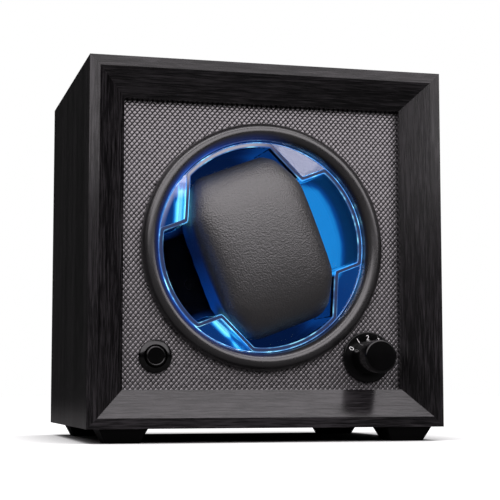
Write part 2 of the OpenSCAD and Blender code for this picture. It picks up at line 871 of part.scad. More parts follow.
module motor_gearbox() {
    color("silver") set_down() difference() {
        union() {
            rod(motor_x, motor_z, gearbox_y, bowl_back_y, gearbox_r);
            rod(motor_x, motor_z, bowl_back_y - 1, bracket_rear_y, gearbox_boss_r);
        }
        rod(motor_x, motor_z, gearbox_y + 4, bracket_rear_y + 1, shaft_r + run_gap);
        translate([motor_x, 0, motor_z]) on_circle(motor_screw_dx, 2, motor_dir + 90)
            rod(0, 0, bowl_back_y - motor_thread, bowl_back_y + 1, thread_r);
    }
}

module motor_can() {
    color("silver") set_down() union() {
        rod(motor_x, motor_z, can_y, gearbox_y, can_r);
        rod(motor_x, motor_z, can_y - 1, can_y + 1, 3);
        translate([motor_x + can_r - 1.5, can_y + 3, motor_z - 3]) cube([lead_box, 6, 6]);
    }
}
lead_box = 4;

strap_w = 26;
bracket_edge_in = 6;
bracket_row_in = 22;
bracket_row_z = 8;
bracket_start = bowl_in_r - bracket_row_in - bracket_edge_in;
bracket_screw_places = [
    [bowl_in_r - bracket_row_in, -bracket_row_z], [bowl_in_r - bracket_row_in, bracket_row_z],
    [bowl_in_r - bracket_edge_in, 0]
];

module motor_bracket() {
    color(steel) set_down()
        slab(bowl_back_y, bracket_rear_y) translate([0, mid_z]) rotate(motor_dir) difference() {
            union() {
                translate([motor_reach, 0]) circle(r = strap_w / 2 + 2);
                translate([bracket_start, -strap_w / 2]) square([motor_reach - bracket_start, strap_w]);
            }
            translate([motor_reach, 0]) circle(r = gearbox_boss_r + 0.2);
            for (s = [-1, 1])
                translate([motor_reach, s * motor_screw_dx]) circle(r = hole_r);
            for (p = bracket_screw_places)
                translate(p) circle(r = hole_r);
        }
}

module motor_screws() {
    color(steel) set_down() translate([motor_x, 0, motor_z]) on_circle(motor_screw_dx, 2, motor_dir + 90)
        translate([0, bracket_rear_y, 0]) rotate([-90, 0, 0]) pan_screw(bracket_t + motor_thread);
}

module bracket_screws() {
    color(steel) set_down() translate([0, 0, mid_z]) rotate([0, -motor_dir, 0])
        for (p = bracket_screw_places)
            translate([p[0], bracket_rear_y, p[1]]) rotate([-90, 0, 0]) pan_screw(bracket_t + bowl_floor_t);
}

// ---- Push button ----

module button_bezel() {
    color(black_plastic) set_down() turned(button_x, control_z) polygon([
        [stem_r + cap_gap, barrel_end_y], [stem_r + cap_gap, shelf_y], [button_bore_r, shelf_y],
        [button_bore_r, button_front_y + 0.3], [button_bore_r + 0.3, button_front_y],
        [button_r - 0.5, button_front_y + 0.85], [button_r, button_front_y + 1.35],
        [button_r, panel_recess], [barrel_r, panel_recess],
        [barrel_r, barrel_end_y]
    ]);
}

module button_cap() {
    cap_face_y = button_front_y - 0.3;
    color(black_plastic) set_down() turned(button_x, control_z) polygon([
        [0, cap_face_y], [cap_r - 0.5, cap_face_y], [cap_r, cap_face_y + 0.5], [cap_r, cap_skirt_y],
        [stem_r, cap_skirt_y], [stem_r, barrel_end_y + fit_gap],
        [stem_r + 1, barrel_end_y + fit_gap], [stem_r + 1, barrel_end_y + fit_gap + collar_len],
        [0, barrel_end_y + fit_gap + collar_len]
    ]);
}

spring_wire_r = 0.35;
spring_turns = 5;
spring_sides = 6;
spring_rings = 90;
spring_coil_r = (stem_r + button_bore_r) / 2;
spring_y0 = cap_skirt_y + spring_wire_r;
spring_y1 = shelf_y - spring_wire_r;

// A point on the spring's wire: ring i along the coil, side j round the wire
function spring_point(i, j) = let (
    a = 360 * spring_turns * i / spring_rings,
    b = 360 * j / spring_sides,
    r = spring_coil_r + spring_wire_r * cos(b)
) [r * cos(a), spring_y0 + (spring_y1 - spring_y0) * i / spring_rings + spring_wire_r * sin(b), r * sin(a)];

// The faces of a tube of rings, closed at both ends
function tube_faces(rings, sides) = concat(
    [[for (j = [sides - 1 : -1 : 0]) j]],
    [for (i = [0 : rings - 2], j = [0 : sides - 1])
        [i * sides + j, i * sides + (j + 1) % sides, (i + 1) * sides + (j + 1) % sides, (i + 1) * sides + j]],
    [[for (j = [0 : sides - 1]) (rings - 1) * sides + j]]
);

module button_spring() {
    color(steel) set_down() translate([button_x, 0, control_z]) polyhedron(
        points = [for (i = [0 : spring_rings], j = [0 : spring_sides - 1]) spring_point(i, j)],
        faces = tube_faces(spring_rings + 1, spring_sides)
    );
}

module button_nut() {
    color(steel) set_down() translate([button_x, panel_back, control_z]) rotate([-90, 0, 0])
        hex_nut(barrel_r + 3, barrel_r, nut_t);
}

button_body = 13;
button_body_len = 10;
stem_room = fit_gap + collar_len + button_travel + 0.6;
button_body_end = barrel_end_y + button_body_len;
terminal_len = 4;

module button_switch() {
    color(black_plastic) set_down() difference() {
        union() {
            translate([button_x - button_body / 2, barrel_end_y, control_z - button_body / 2])
                cube([button_body, button_body_len, button_body]);
            for (s = [-1, 1])
                translate([button_x + s * 3 - 1, button_body_end - 1, control_z - 0.4])
                    cube([2, terminal_len + 1, 0.8]);
        }
        rod(button_x, control_z, barrel_end_y - 1, barrel_end_y + stem_room, stem_r + 1.5);
    }
}

// ---- Rotary knob ----

module speed_dial() {
    color(black_plastic) set_down() turned(knob_x, control_z) polygon([
        [switch_bush_r + 0.1, dial_face_y], [dial_r - 0.5, dial_face_y], [dial_r, dial_face_y + 0.5],
        [dial_r, panel_recess], [switch_bush_r + 0.1, panel_recess]
    ]);
}

knob_seat = 10;

module speed_knob() {
    seat_y = knob_cavity_y - knob_seat;
    color(black_plastic) set_down() turned(knob_x, control_z) polygon([
        [0, knob_face_y], [knob_r - 0.6, knob_face_y], [knob_r, knob_face_y + 0.6],
        [knob_r, dial_face_y - fit_gap], [knob_r - 1, dial_face_y - fit_gap], [knob_r - 1, knob_cavity_y],
        [spindle_r, knob_cavity_y], [spindle_r, seat_y], [0, seat_y]
    ]);
}

module rotary_switch_shaft() {
    color(steel) set_down()
        rod(knob_x, control_z, knob_cavity_y - knob_seat, panel_back + switch_len - 2, spindle_r);
}

bush_front_y = knob_cavity_y + 0.5;
switch_pins = 5;
pin_pcd_r = 7;
pin_step = 65;
pin_len = 4;
pin_r = 0.6;

module rotary_switch() {
    switch_end = panel_back + switch_len;
    color("darkslategray") set_down() difference() {
        union() {
            rod(knob_x, control_z, panel_back, switch_end, switch_r);
            rod(knob_x, control_z, bush_front_y, panel_back + 1, switch_bush_r);
            for (i = [0 : switch_pins - 1])
                translate([knob_x, 0, control_z]) on_circle(pin_pcd_r, 1, 50 + i * pin_step)
                    rod(0, 0, switch_end - 1, switch_end + pin_len, pin_r);
        }
        rod(knob_x, control_z, bush_front_y - 1, switch_end - 1.8, spindle_r + run_gap);
    }
}

module rotary_switch_nut() {
    color(steel) set_down() translate([knob_x, dial_face_y - knob_nut_t, control_z]) rotate([-90, 0, 0])
        hex_nut(knob_r - 1.5, switch_bush_r, knob_nut_t);
}

// ---- Electrics ----

board_corners = [
    for (sx = [-1, 1], y = [board_y + standoff_inset, board_y + board_d - standoff_inset])
        [sx * (board_w / 2 - standoff_inset), y]
];

module control_board() {
    color(board_green) set_down() difference() {
        translate([-board_w / 2, board_y, board_z]) cube([board_w, board_d, card_t]);
        for (p = board_corners)
            translate([p[0], p[1], board_z - 1]) cylinder(r = hole_r, h = card_t + 2);
    }
}

connector_places = [-2, -1, 0, 1, 2];
driver = [18, 8, 2.4];
driver_y = 17;
timer = [10, 10, 1.8];
timer_x = 21;
timer_y = 16;
big_cap = [4, 9];
big_cap_x = 22;
big_cap_y = 22;
small_cap = [3, 7];
small_cap_x = 4;
small_cap_y = 31;

module board_components() {
    top = board_z + card_t;
    color([0.12, 0.12, 0.14]) set_down() union() {
        for (i = connector_places)
            translate([i * connector_pitch - connector_w / 2, connector_y, top])
                cube([connector_w, connector_d, connector_h]);
        translate([-driver[0] / 2, board_y + driver_y, top]) cube(driver);
        translate([timer_x - timer[0] / 2, board_y + timer_y, top]) cube(timer);
        translate([-big_cap_x, board_y + big_cap_y, top]) cylinder(r = big_cap[0], h = big_cap[1]);
        translate([small_cap_x, board_y + small_cap_y, top]) cylinder(r = small_cap[0], h = small_cap[1]);
    }
}

module board_standoffs() {
    color(bronze) set_down()
        for (p = board_corners)
            translate([p[0], p[1], board_t]) difference() {
                cylinder(r = standoff_r, h = standoff_h);
                translate([0, 0, -1]) cylinder(r = thread_r, h = standoff_h + 2);
            }
}

module board_screws() {
    color(steel) set_down()
        for (p = board_corners)
            translate([p[0], p[1], board_z + card_t]) pan_screw(card_t + standoff_h + standoff_screw_bite);
}

inlet_flange_t = 1;
inlet_len = 16;
inlet_end_y = back_rear_y - inlet_len;
inlet_nut_t = 2.5;

module dc_inlet() {
    socket_len = 11;
    color(black_plastic) set_down() union() {
        difference() {
            union() {
                rod(-inlet_dx, inlet_z, back_rear_y, back_rear_y + inlet_flange_t, inlet_r + 1.6);
                rod(-inlet_dx, inlet_z, inlet_end_y, back_rear_y + inlet_flange_t, inlet_r);
            }
            rod(-inlet_dx, inlet_z, cab_d - socket_len, cab_d + 1, socket_r);
        }
        rod(-inlet_dx, inlet_z, cab_d - socket_len - 1, cab_d - 1.5, 1);
    }
}

module dc_inlet_nut() {
    color(steel) set_down() translate([-inlet_dx, back_front_y - inlet_nut_t, inlet_z]) rotate([-90, 0, 0])
        hex_nut(inlet_r + 2.5, inlet_r, inlet_nut_t);
}

// Routes of the five leads, from the device to its connector on the control board
plug_y = connector_y;
lead_run_x = motor_x + can_r + 7.5;
led_lead = [
    [0, led_back_y, mid_z - lead_exit_r], [0, bowl_back_y + 0.5, mid_z - lead_exit_r],
    [0, bowl_back_y + 3, mid_z - lead_exit_r - 3], [0, bowl_back_y + 5, mid_z - lead_exit_r - 10],
    [0, plug_y - 8, lead_z + 5], [0, plug_y - 3, lead_z], [0, plug_y, lead_z]
];
button_lead = [
    [button_x, button_body_end, control_z],
    [button_x, button_body_end + terminal_len + 4, control_z],
    [button_x + 5, button_body_end + terminal_len + 12, control_z - 8],
    [-connector_pitch - 6, plug_y - 10, lead_z + 2], [-connector_pitch, plug_y - 3, lead_z],
    [-connector_pitch, plug_y, lead_z]
];
knob_lead = [
    [knob_x, panel_back + switch_len, control_z], [knob_x, panel_back + switch_len + 5, control_z],
    [knob_x - 5, panel_back + switch_len + 16, control_z - 9],
    [connector_pitch + 6, plug_y - 10, lead_z + 2], [connector_pitch, plug_y - 3, lead_z],
    [connector_pitch, plug_y, lead_z]
];
motor_lead = [
    [motor_x + can_r - 1.5 + lead_box, can_y + 6, motor_z], [motor_x + can_r + 4, can_y + 6, motor_z],
    [lead_run_x, can_y + 6, motor_z - 4], [lead_run_x, can_y + 7, motor_z - 16], [lead_run_x, can_y + 8, mid_z],
    [lead_run_x, can_y + 10, control_z + 6], [lead_run_x - 3, can_y + 20, lead_z + 4],
    [2 * connector_pitch + 10, plug_y - 12, lead_z], [2 * connector_pitch + 1, plug_y - 6, lead_z],
    [2 * connector_pitch, plug_y - 3, lead_z], [2 * connector_pitch, plug_y, lead_z]
];
inlet_lead = [
    [-inlet_dx, inlet_end_y, inlet_z], [-inlet_dx, inlet_end_y - 5, inlet_z],
    [-inlet_dx, inlet_end_y - 16, lead_z + 3], [-inlet_dx + 3, plug_y + 4, lead_z],
    [-2 * connector_pitch - 13, plug_y - 5, lead_z], [-2 * connector_pitch - 4, plug_y - 6, lead_z],
    [-2 * connector_pitch, plug_y - 3, lead_z], [-2 * connector_pitch, plug_y, lead_z]
];

lead_steps = 5;
lead_sides = 8;

// A smooth curve through a route's points
function curve_point(p, i, t) = let (
    last = len(p) - 1,
    a = p[max(i - 1, 0)],
    b = p[i],
    c = p[min(i + 1, last)],
    d = p[min(i + 2, last)]
) 0.5 * (2 * b + (c - a) * t + (2 * a - 5 * b + 4 * c - d) * t * t + (3 * b - a - 3 * c + d) * t * t * t);

function curve(p) = concat(
    [for (i = [0 : len(p) - 2], k = [0 : lead_steps - 1]) curve_point(p, i, k / lead_steps)],
    [p[len(p) - 1]]
);

// The unit direction of the curve c at its point i; at both ends it is the route's own
function heading(p, c, i) = let (
    last = len(p) - 1,
    v = i == 0 ? p[1] - p[0] : i == len(c) - 1 ? p[last] - p[last - 1] : c[i + 1] - c[i - 1]
) v / norm(v);

// One ring of points round a curve
function ring(p, c, i, r) = let (
    h = heading(p, c, i),
    side = cross(h, [0.31, 0.17, 0.93]),
    u = side / norm(side),
    w = cross(h, u)
) [for (j = [0 : lead_sides - 1]) c[i] + r * (cos(360 * j / lead_sides) * u + sin(360 * j / lead_sides) * w)];

module lead(route) {
    c = curve(route);
    polyhedron(
        points = [for (i = [0 : len(c) - 1], corner = ring(route, c, i, lead_r)) corner],
        faces = tube_faces(len(c), lead_sides)
    );
}

module inner_leads() {
    color(rubber_black) set_down() {
        lead(led_lead);
        lead(button_lead);
        lead(knob_lead);
        lead(motor_lead);
        lead(inlet_lead);
    }
}

cabinet_top_board();
cabinet_bottom_board();
cabinet_left_board();
cabinet_right_board();
corner_posts();
back_panel();
back_panel_screws();
frame_moulding_top();
frame_moulding_bottom();
frame_moulding_left();
frame_moulding_right();
front_panel_board();
front_panel_covering();
foot_front_left();
foot_front_right();
foot_rear_left();
foot_rear_right();
foot_screws();
bezel_ring();
rotor_housing();
rotor_housing_screws();
led_board();
led_chips();
led_board_screws();
clear_cup();
turntable();
cup_screws();
rotor_axle();
axle_bush_front();
axle_bush_rear();
axle_clip();
drive_pulley();
drive_belt();
motor_pulley();
motor_shaft();
motor_gearbox();
motor_can();
motor_bracket();
motor_screws();
bracket_screws();
pillow_cover();
pillow_core();
button_bezel();
button_cap();
button_spring();
button_switch();
button_nut();
speed_knob();
speed_dial();
rotary_switch();
rotary_switch_nut();
rotary_switch_shaft();
control_board();
board_components();
board_standoffs();
board_screws();
dc_inlet();
dc_inlet_nut();
inner_leads();
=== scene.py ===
"""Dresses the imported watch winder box: camera, light, materials and its finished pieces."""

import json
import math

import bmesh
import bpy
from mathutils import Matrix, Vector, noise


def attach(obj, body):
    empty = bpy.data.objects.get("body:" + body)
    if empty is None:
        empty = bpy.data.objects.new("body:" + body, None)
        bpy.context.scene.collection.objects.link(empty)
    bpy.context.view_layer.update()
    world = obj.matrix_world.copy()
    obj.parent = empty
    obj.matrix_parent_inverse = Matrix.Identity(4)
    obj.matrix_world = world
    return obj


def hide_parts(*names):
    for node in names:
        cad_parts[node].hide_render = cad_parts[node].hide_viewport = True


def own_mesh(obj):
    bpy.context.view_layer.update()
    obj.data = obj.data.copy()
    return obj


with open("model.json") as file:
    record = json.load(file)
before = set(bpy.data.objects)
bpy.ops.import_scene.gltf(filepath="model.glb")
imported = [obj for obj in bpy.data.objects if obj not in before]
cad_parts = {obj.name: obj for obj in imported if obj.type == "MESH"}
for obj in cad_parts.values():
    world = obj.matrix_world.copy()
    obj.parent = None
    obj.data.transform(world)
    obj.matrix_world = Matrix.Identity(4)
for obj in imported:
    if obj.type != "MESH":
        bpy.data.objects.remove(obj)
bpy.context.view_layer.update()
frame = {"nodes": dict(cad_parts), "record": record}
NODES = frame["nodes"]
NODE_SLOTS = {part["node"]: part["material_slot"] for part in frame["record"]["subparts"]}

# ---- Measures in millimetres, in the cabinet's own directions:
# x = 0 in its middle, y = 0 at its front edge, z = 0 at its underside
MM = 0.001
# Where the row frame's y = 0 and z = 0 lie: this far behind the front edge, this far below the underside
MIDDLE_Y = 61.75
FOOT_H = 6.2
PANEL_Y = 13.5
PANEL_HALF = 63.5
BOARD_EASE = 0.35
MOULDING_EASE = 0.12
BACK_EASE = 0.4
FOOT_EASE = 0.5

# The bezel ring, round the rotor's axis
AXIS_Z = 80.0
RING_R = 55.3
RING_IN_R = 47.7
RING_SHOULDER_Y = 11.5
RING_RISE = 4.5
RING_STEP = 0.9
COLLAR_R = 49.5
COLLAR_END_Y = 18.1

# The cup, whose slot for the pillow is turned by the rotor's angle
ROTOR_ANGLE = math.radians(21.0)
RIM_R = 47.2
CAVITY_R = 45.0
CUP_WALL = 1.6
CUP_FLOOR_Y = 43.3
CUP_BACK_Y = 45.3
LOBE_X = 28.0
LOBE_Y = 21.5
LOBE_LEAN = math.radians(24)
NEAR_CORNER = 0.45

# The pillow
PILLOW_HALF = 40.0
PILLOW_FRONT = -1.0
PILLOW_BACK = 43.0
PILLOW_MID_Y = 21.0
PILLOW_GAP = 0.3
PILLOW_SHRINK = 1.3
CROWN_RISE = 17.0
CROWN_POWER = 3.6
CORNER_R = 7.0
OVAL_POWER = 2 / 2.25
PILLOW_AROUND = 96
PILLOW_ALONG = 28
PILLOW_END_SIZES = (0.90, 0.72, 0.46, 0.18)
PILLOW_END_DIP = 0.5
VOXEL_SIZE = 2.2
CLOTH_FRAMES = 20
CLOTH_PRESSURE = 4.0
CLOTH_REACH = 1.1

# Button, dial and knob; a profile that reaches the axis stops a hair before it
ON_AXIS_R = 0.002
CONTROL_X = 48.5
CONTROL_Z = 31.0
BUTTON_R = 7.35
BUTTON_EDGE = 0.7
BUTTON_EDGE_Y = 12.35
BARREL_R = 6.0
BARREL_END_Y = 23.6
CAP_R = 4.62
CAP_HOLE_R = 4.95
CAP_BACK_Y = 15.0
PLUNGER_R = 2.5
PLUNGER_HOLE_R = 2.8
PLUNGER_HEAD_R = 3.5
PLUNGER_HEAD_Y = 23.9
PLUNGER_END_Y = 24.9
SPRING_END_Y = 22.0
DIAL_R = 11.45
DIAL_EDGE = 0.5
DIAL_FACE_Y = 11.0
DIAL_GROOVE_Y = 11.1
DIAL_HOLE_R = 4.7
KNOB_R = 7.3
KNOB_SHOULDER = 0.75
KNOB_FACE_Y = -6.5
KNOB_FOOT_Y = 10.7
KNOB_WALL = 1.0
KNOB_RECESS_Y = 7.0
KNOB_BORE_R = 3.0
KNOB_BORE_Y = -3.0
NUMBER_H = 2.35
FONT_CAP_SHARE = 0.70
NUMBER_Y = DIAL_FACE_Y - 0.01
NUMBER_RING_R = 8.6
NUMBER_ANGLES = (154, 122.5, 91, 59.5, 28)

# The weave: diamonds in rows, each a dome of a few rings
WEAVE_PITCH_X = 2.264
WEAVE_PITCH_Z = 2.56
WEAVE_START_X = 50.47
WEAVE_START_Z = 130.15
WEAVE_COLUMNS = range(-110, 20)
WEAVE_ROWS = range(-100, 14)
PAD_HALF_X = 1.10
PAD_HALF_Z = 1.245
PAD_HIGH = 0.45
PAD_SINK = 0.04
PAD_VARY = 0.12
PAD_SIDES = 8
PAD_RINGS = ((1.0, 0.0), (0.92, 0.60), (0.76, 0.92), (0.42, 0.99))
# How far out a pad's corners and sides lie, in turn: the sides along the folds that rise to the right
# bulge less, so those folds are the wider ones
PAD_ROUND_OFF = (1.0, 0.80, 1.0, 0.70)
# How far the weave runs on under the frame, and a pad's middle under the ring, button or dial
UNDER_FRAME = 0.7
UNDER_PIECE = 0.8

# ---- Camera and lamps, in metres, degrees and watts; lens and sensor in millimetres
CAMERA_PLACE = (-0.16217, -0.65220, 0.02334)
CAMERA_YAW = 14.5188
CAMERA_PITCH = 5.6064
CAMERA_ROLL = -0.033
CAMERA_LENS = 101.34
CAMERA_SENSOR = 36.0
LAMP_COLOUR = (1.0, 0.95, 0.985)
# Name, place, aim, size and power of each
LAMPS = (
    ("key", (-0.10, -0.28, 0.80), (-0.10, -0.05, 0.08), (1.1, 0.40), 5.5),
    ("card", (0.05, -0.72, 0.515), (0.05, 0.0, 0.515), (1.58, 0.60), 8.6),
    ("side", (-0.80, -0.36, 0.62), (0.0, -0.05, 0.10), (0.5, 0.4), 1.7),
    ("top", (0.05, 0.30, 0.9), (0.0, 0.0, 0.1), (0.7, 0.5), 2.4),
)


def row_y(y):
    """A depth in the cabinet's millimetres, as the row frame's metres."""
    return (y - MIDDLE_Y) * MM


def at(x, y, z):
    """A point in the cabinet's millimetres, as the row frame's metres."""
    return Vector((x * MM, row_y(y), (z + FOOT_H) * MM))


def turned_point(x, y, z):
    """A point in the cup's own directions at rest: x along the pillow and z across it."""
    c = math.cos(ROTOR_ANGLE)
    s = math.sin(ROTOR_ANGLE)
    return at(x * c - z * s, y, AXIS_Z + x * s + z * c)


# ---- Building blocks of the materials

def new_material(name):
    mat = bpy.data.materials.new(name)
    mat.use_nodes = True
    mat.node_tree.nodes.clear()
    return mat, mat.node_tree


def add(tree, kind, inputs=None, **props):
    """Adds a shader node; an input is a value, or another node's output to link."""
    made = tree.nodes.new("ShaderNode" + kind)
    for key, value in props.items():
        setattr(made, key, value)
    for key, value in (inputs or {}).items():
        if isinstance(value, bpy.types.NodeSocket):
            tree.links.new(value, made.inputs[key])
        else:
            made.inputs[key].default_value = value
    return made


def coords(tree, scale=(1, 1, 1), turn=(0, 0, 0), move=(0, 0, 0)):
    source = add(tree, "TexCoord").outputs["Object"]
    inputs = {"Vector": source, "Scale": scale, "Rotation": turn, "Location": move}
    return add(tree, "Mapping", inputs).outputs[0]


def grain_noise(tree, vector, scale, detail=4.0, rough=0.55):
    inputs = {"Vector": vector, "Scale": scale, "Detail": detail, "Roughness": rough}
    return add(tree, "TexNoise", inputs).outputs["Fac"]


def maths(tree, op, a, b=0.0, c=0.0, clamp=False):
    return add(tree, "Math", {0: a, 1: b, 2: c}, operation=op, use_clamp=clamp).outputs[0]


def product(tree, first, *others):
    result = first
    for other in others:
        result = maths(tree, "MULTIPLY", result, other)
    return result


def absolute(tree, value):
    return maths(tree, "ABSOLUTE", value)


def ramp(tree, fac, stops):
    """A colour that changes with fac. A stop is its place and its colour, or one number for a grey."""
    made = add(tree, "ValToRGB", {"Fac": fac})
    while len(made.color_ramp.elements) < len(stops):
        made.color_ramp.elements.new(0.5)
    for element, (place, colour) in zip(made.color_ramp.elements, stops):
        if not isinstance(colour, tuple):
            colour = (colour, colour, colour)
        element.position = place
        element.color = (*colour, 1.0)
    return made.outputs["Color"]


def spread(tree, value, low, high, to_low=0.0, to_high=1.0):
    """Takes low to to_low and high to to_high, in a straight line between them and flat beyond."""
    inputs = {"Value": value, "From Min": low, "From Max": high, "To Min": to_low, "To Max": to_high}
    return add(tree, "MapRange", inputs).outputs[0]


def mix(tree, share, first, second):
    """A colour between two colours, the second one's share being given."""
    return add(tree, "Mix", {0: share, 6: first, 7: second}, data_type="RGBA").outputs[2]


def bump(tree, height, strength, distance):
    return add(tree, "Bump", {"Height": height, "Strength": strength, "Distance": distance}).outputs[0]


def finish_material(tree, shader):
    add(tree, "OutputMaterial", {"Surface": shader})


def finish_principled(tree, inputs):
    finish_material(tree, add(tree, "BsdfPrincipled", inputs).outputs[0])


def from_axis(tree):
    """A point's x, y and z in metres, x and z measured from the rotor's axis."""
    parts = add(tree, "SeparateXYZ", {0: coords(tree, move=(0, 0, -(AXIS_Z + FOOT_H) * MM))})
    return parts.outputs["X"], parts.outputs["Y"], parts.outputs["Z"]


def radius_from_axis(tree):
    """Distance in millimetres from the rotor's axis."""
    x, _, z = from_axis(tree)
    square = maths(tree, "MULTIPLY_ADD", z, z, maths(tree, "MULTIPLY", x, x))
    return maths(tree, "MULTIPLY", maths(tree, "SQRT", square), 1 / MM)


def along_and_across(tree, x, z):
    """How far along the pillow and how far across it a point lies, from its place round the rotor's axis."""
    c = math.cos(ROTOR_ANGLE)
    s = math.sin(ROTOR_ANGLE)
    along = maths(tree, "MULTIPLY_ADD", x, c, maths(tree, "MULTIPLY", z, s))
    across = maths(tree, "MULTIPLY_ADD", z, c, maths(tree, "MULTIPLY", x, -s))
    return along, across


def between_depths(tree, y, start, end):
    """0 at the depth start, 1 at the depth end, both in the cabinet's millimetres."""
    return spread(tree, y, row_y(start), row_y(end))


def grain_scale(across, along, axis):
    """Texture scale of marks that run along one axis, or of round ones where there is none."""
    scale = [across, across, across]
    if axis is not None:
        scale[axis] = along
    return tuple(scale)


# ---- Materials

def ash(name, axis):
    """Black-ash foil: fine straight grain along one axis."""
    dark = (0.0012, 0.0011, 0.0013)
    middle = (0.0101, 0.0093, 0.0101)
    light = (0.029, 0.0268, 0.029)
    mat, tree = new_material(name)
    fine = grain_noise(tree, coords(tree, grain_scale(900.0, 48.0, axis)), 1.0, 6.0, 0.62)
    hair = grain_noise(tree, coords(tree, grain_scale(2500.0, 130.0, axis)), 1.0, 3.0, 0.5)
    broad = grain_noise(tree, coords(tree, grain_scale(110.0, 7.0, axis)), 1.0, 3.0, 0.5)
    mixed = maths(tree, "MULTIPLY_ADD", hair, 0.36, maths(tree, "MULTIPLY", broad, 0.22))
    mixed = maths(tree, "MULTIPLY_ADD", fine, 0.42, mixed)
    finish_principled(tree, {
        "Base Color": ramp(tree, mixed, [(0.42, dark), (0.5, middle), (0.59, light)]),
        "Roughness": spread(tree, mixed, 0.40, 0.60, 0.26, 0.13),
        "Normal": bump(tree, mixed, 0.10, 0.00012),
        "Specular IOR Level": 0.30})
    return mat


def moulded(name, colour, rough=0.45, grain=2600.0, strength=0.12, specular=0.5):
    """Moulded plastic with a faint texture and slight wear."""
    mat, tree = new_material(name)
    vector = coords(tree)
    fine = grain_noise(tree, vector, grain, 3.0)
    broad = grain_noise(tree, vector, 60.0, 3.0)
    darker = tuple(c * 0.86 for c in colour)
    lighter = tuple(c * 1.14 for c in colour)
    finish_principled(tree, {
        "Base Color": ramp(tree, broad, [(0.3, darker), (0.7, lighter)]),
        "Roughness": spread(tree, broad, 0.3, 0.7, rough - 0.04, rough + 0.05),
        "Normal": bump(tree, fine, strength, 0.00005),
        "Specular IOR Level": specular})
    return mat


def metal(name, colour, rough=0.3, axis=None):
    """Plated or turned metal with fine tool marks."""
    mat, tree = new_material(name)
    marks = grain_noise(tree, coords(tree, grain_scale(900.0, 12.0, axis)), 1.0, 4.0)
    stain = grain_noise(tree, coords(tree), 140.0, 3.0)
    darker = tuple(c * 0.88 for c in colour)
    finish_principled(tree, {
        "Base Color": ramp(tree, stain, [(0.3, darker), (0.7, colour)]),
        "Metallic": 1.0,
        "Roughness": spread(tree, marks, 0.3, 0.7, rough - 0.06, rough + 0.08),
        "Normal": bump(tree, marks, 0.15, 0.00004)})
    return mat


def fibre(name, dark, light, scale=700.0, rough=0.85):
    """Raw board or foam: matt, with a mottled fibre or cell pattern."""
    mat, tree = new_material(name)
    cells = grain_noise(tree, coords(tree), scale, 6.0, 0.7)
    finish_principled(tree, {
        "Base Color": ramp(tree, cells, [(0.3, dark), (0.7, light)]),
        "Roughness": rough,
        "Normal": bump(tree, cells, 0.4, 0.0003),
        "Specular IOR Level": 0.2})
    return mat


def weave_material():
    """The light, slightly shiny pads of the covering, with painted shade darkening them towards their folds.
    """
    painted_fold_shade = (0.034, 0.0325, 0.034, 1)
    mat, tree = new_material("weave_pads")
    slanted = coords(tree, turn=(0, math.radians(45), 0))
    waves = {"Vector": slanted, "Scale": 900.0, "Distortion": 2.0, "Detail": 2.0}
    threads = add(tree, "TexWave", waves).outputs["Fac"]
    patch = grain_noise(tree, coords(tree), 520.0, 3.0)
    _, y, _ = from_axis(tree)
    # Towards each pad's foot the colour darkens: painted shade in the folds
    crest = maths(tree, "POWER", between_depths(tree, y, PANEL_Y, PANEL_Y - 0.5), 1.1, clamp=True)
    light = ramp(tree, patch, [(0.25, (0.195, 0.186, 0.193)), (0.75, (0.288, 0.275, 0.285))])
    finish_principled(tree, {
        "Base Color": mix(tree, crest, painted_fold_shade, light),
        "Roughness": spread(tree, patch, 0.3, 0.7, 0.24, 0.36),
        "Metallic": 0.68,
        "Normal": bump(tree, threads, 0.10, 0.00005),
        "Specular IOR Level": 1.0})
    return mat


def ring_material():
    """Soft satin black of the bezel ring; a painted reflection of the cup's edge light: blue emission on its
    inner slope, stronger towards the left.
    """
    mat, tree = new_material("ring_satin")
    vector = coords(tree)
    fine = grain_noise(tree, vector, 3200.0, 3.0)
    broad = grain_noise(tree, vector, 45.0, 3.0)
    # Painted reflection: blue emission on the inner slope, stronger towards the left and broken up by a noise
    # patch
    x, _, _ = from_axis(tree)
    left = spread(tree, x, 0.014, -0.040)
    slope = maths(tree, "POWER", spread(tree, radius_from_axis(tree), 51.0, 47.75), 1.5, clamp=True)
    patch = spread(tree, grain_noise(tree, vector, 62.0, 1.0), 0.35, 0.65, 0.7, 1.25)
    finish_principled(tree, {
        "Base Color": ramp(tree, broad, [(0.3, (0.012, 0.0115, 0.012)), (0.7, (0.017, 0.0165, 0.017))]),
        "Roughness": spread(tree, broad, 0.3, 0.7, 0.25, 0.29),
        "Normal": bump(tree, fine, 0.10, 0.00004),
        "Specular IOR Level": 0.9,
        "Emission Color": ramp(tree, product(tree, slope, left, patch), [
            (0.0, (0.0, 0.0, 0.0)), (0.4, (0.0, 0.010, 0.08)),
            (0.75, (0.001, 0.045, 0.30)), (1.0, (0.004, 0.13, 0.62))]),
        "Emission Strength": 1.0})
    return mat


def bowl_light(tree, start, end, front):
    """Level of the painted blue light in the bowl, emission that stands for the LEDs' light: bright on the
    right, navy behind the lobes, dark on the left.

    It rises from the radius start to the radius end and, where front is given, between its two depths."""
    x, y, z = from_axis(tree)
    along, across = along_and_across(tree, x, z)
    outer = spread(tree, radius_from_axis(tree), start, end)
    right = spread(tree, x, -0.004, 0.026)
    middle = spread(tree, absolute(tree, maths(tree, "ADD", z, -0.011)), 0.030, 0.020)
    patch = spread(tree, grain_noise(tree, coords(tree), 90.0, 2.0), 0.2, 0.8, 0.9, 1.1)
    bright = product(tree, outer, right, middle, patch)
    if front is not None:
        bright = product(tree, bright, between_depths(tree, y, *front))
    corner = spread(tree, absolute(tree, along), 0.012, 0.022, 0.20, 0.52)
    behind_lobes = product(tree, spread(tree, absolute(tree, across), 0.018, 0.023), corner)
    faint_right = spread(tree, x, -0.016, -0.006, 0.0, 0.17)
    haze = product(tree, outer, maths(tree, "MAXIMUM", behind_lobes, faint_right))
    return maths(tree, "MAXIMUM", bright, haze)


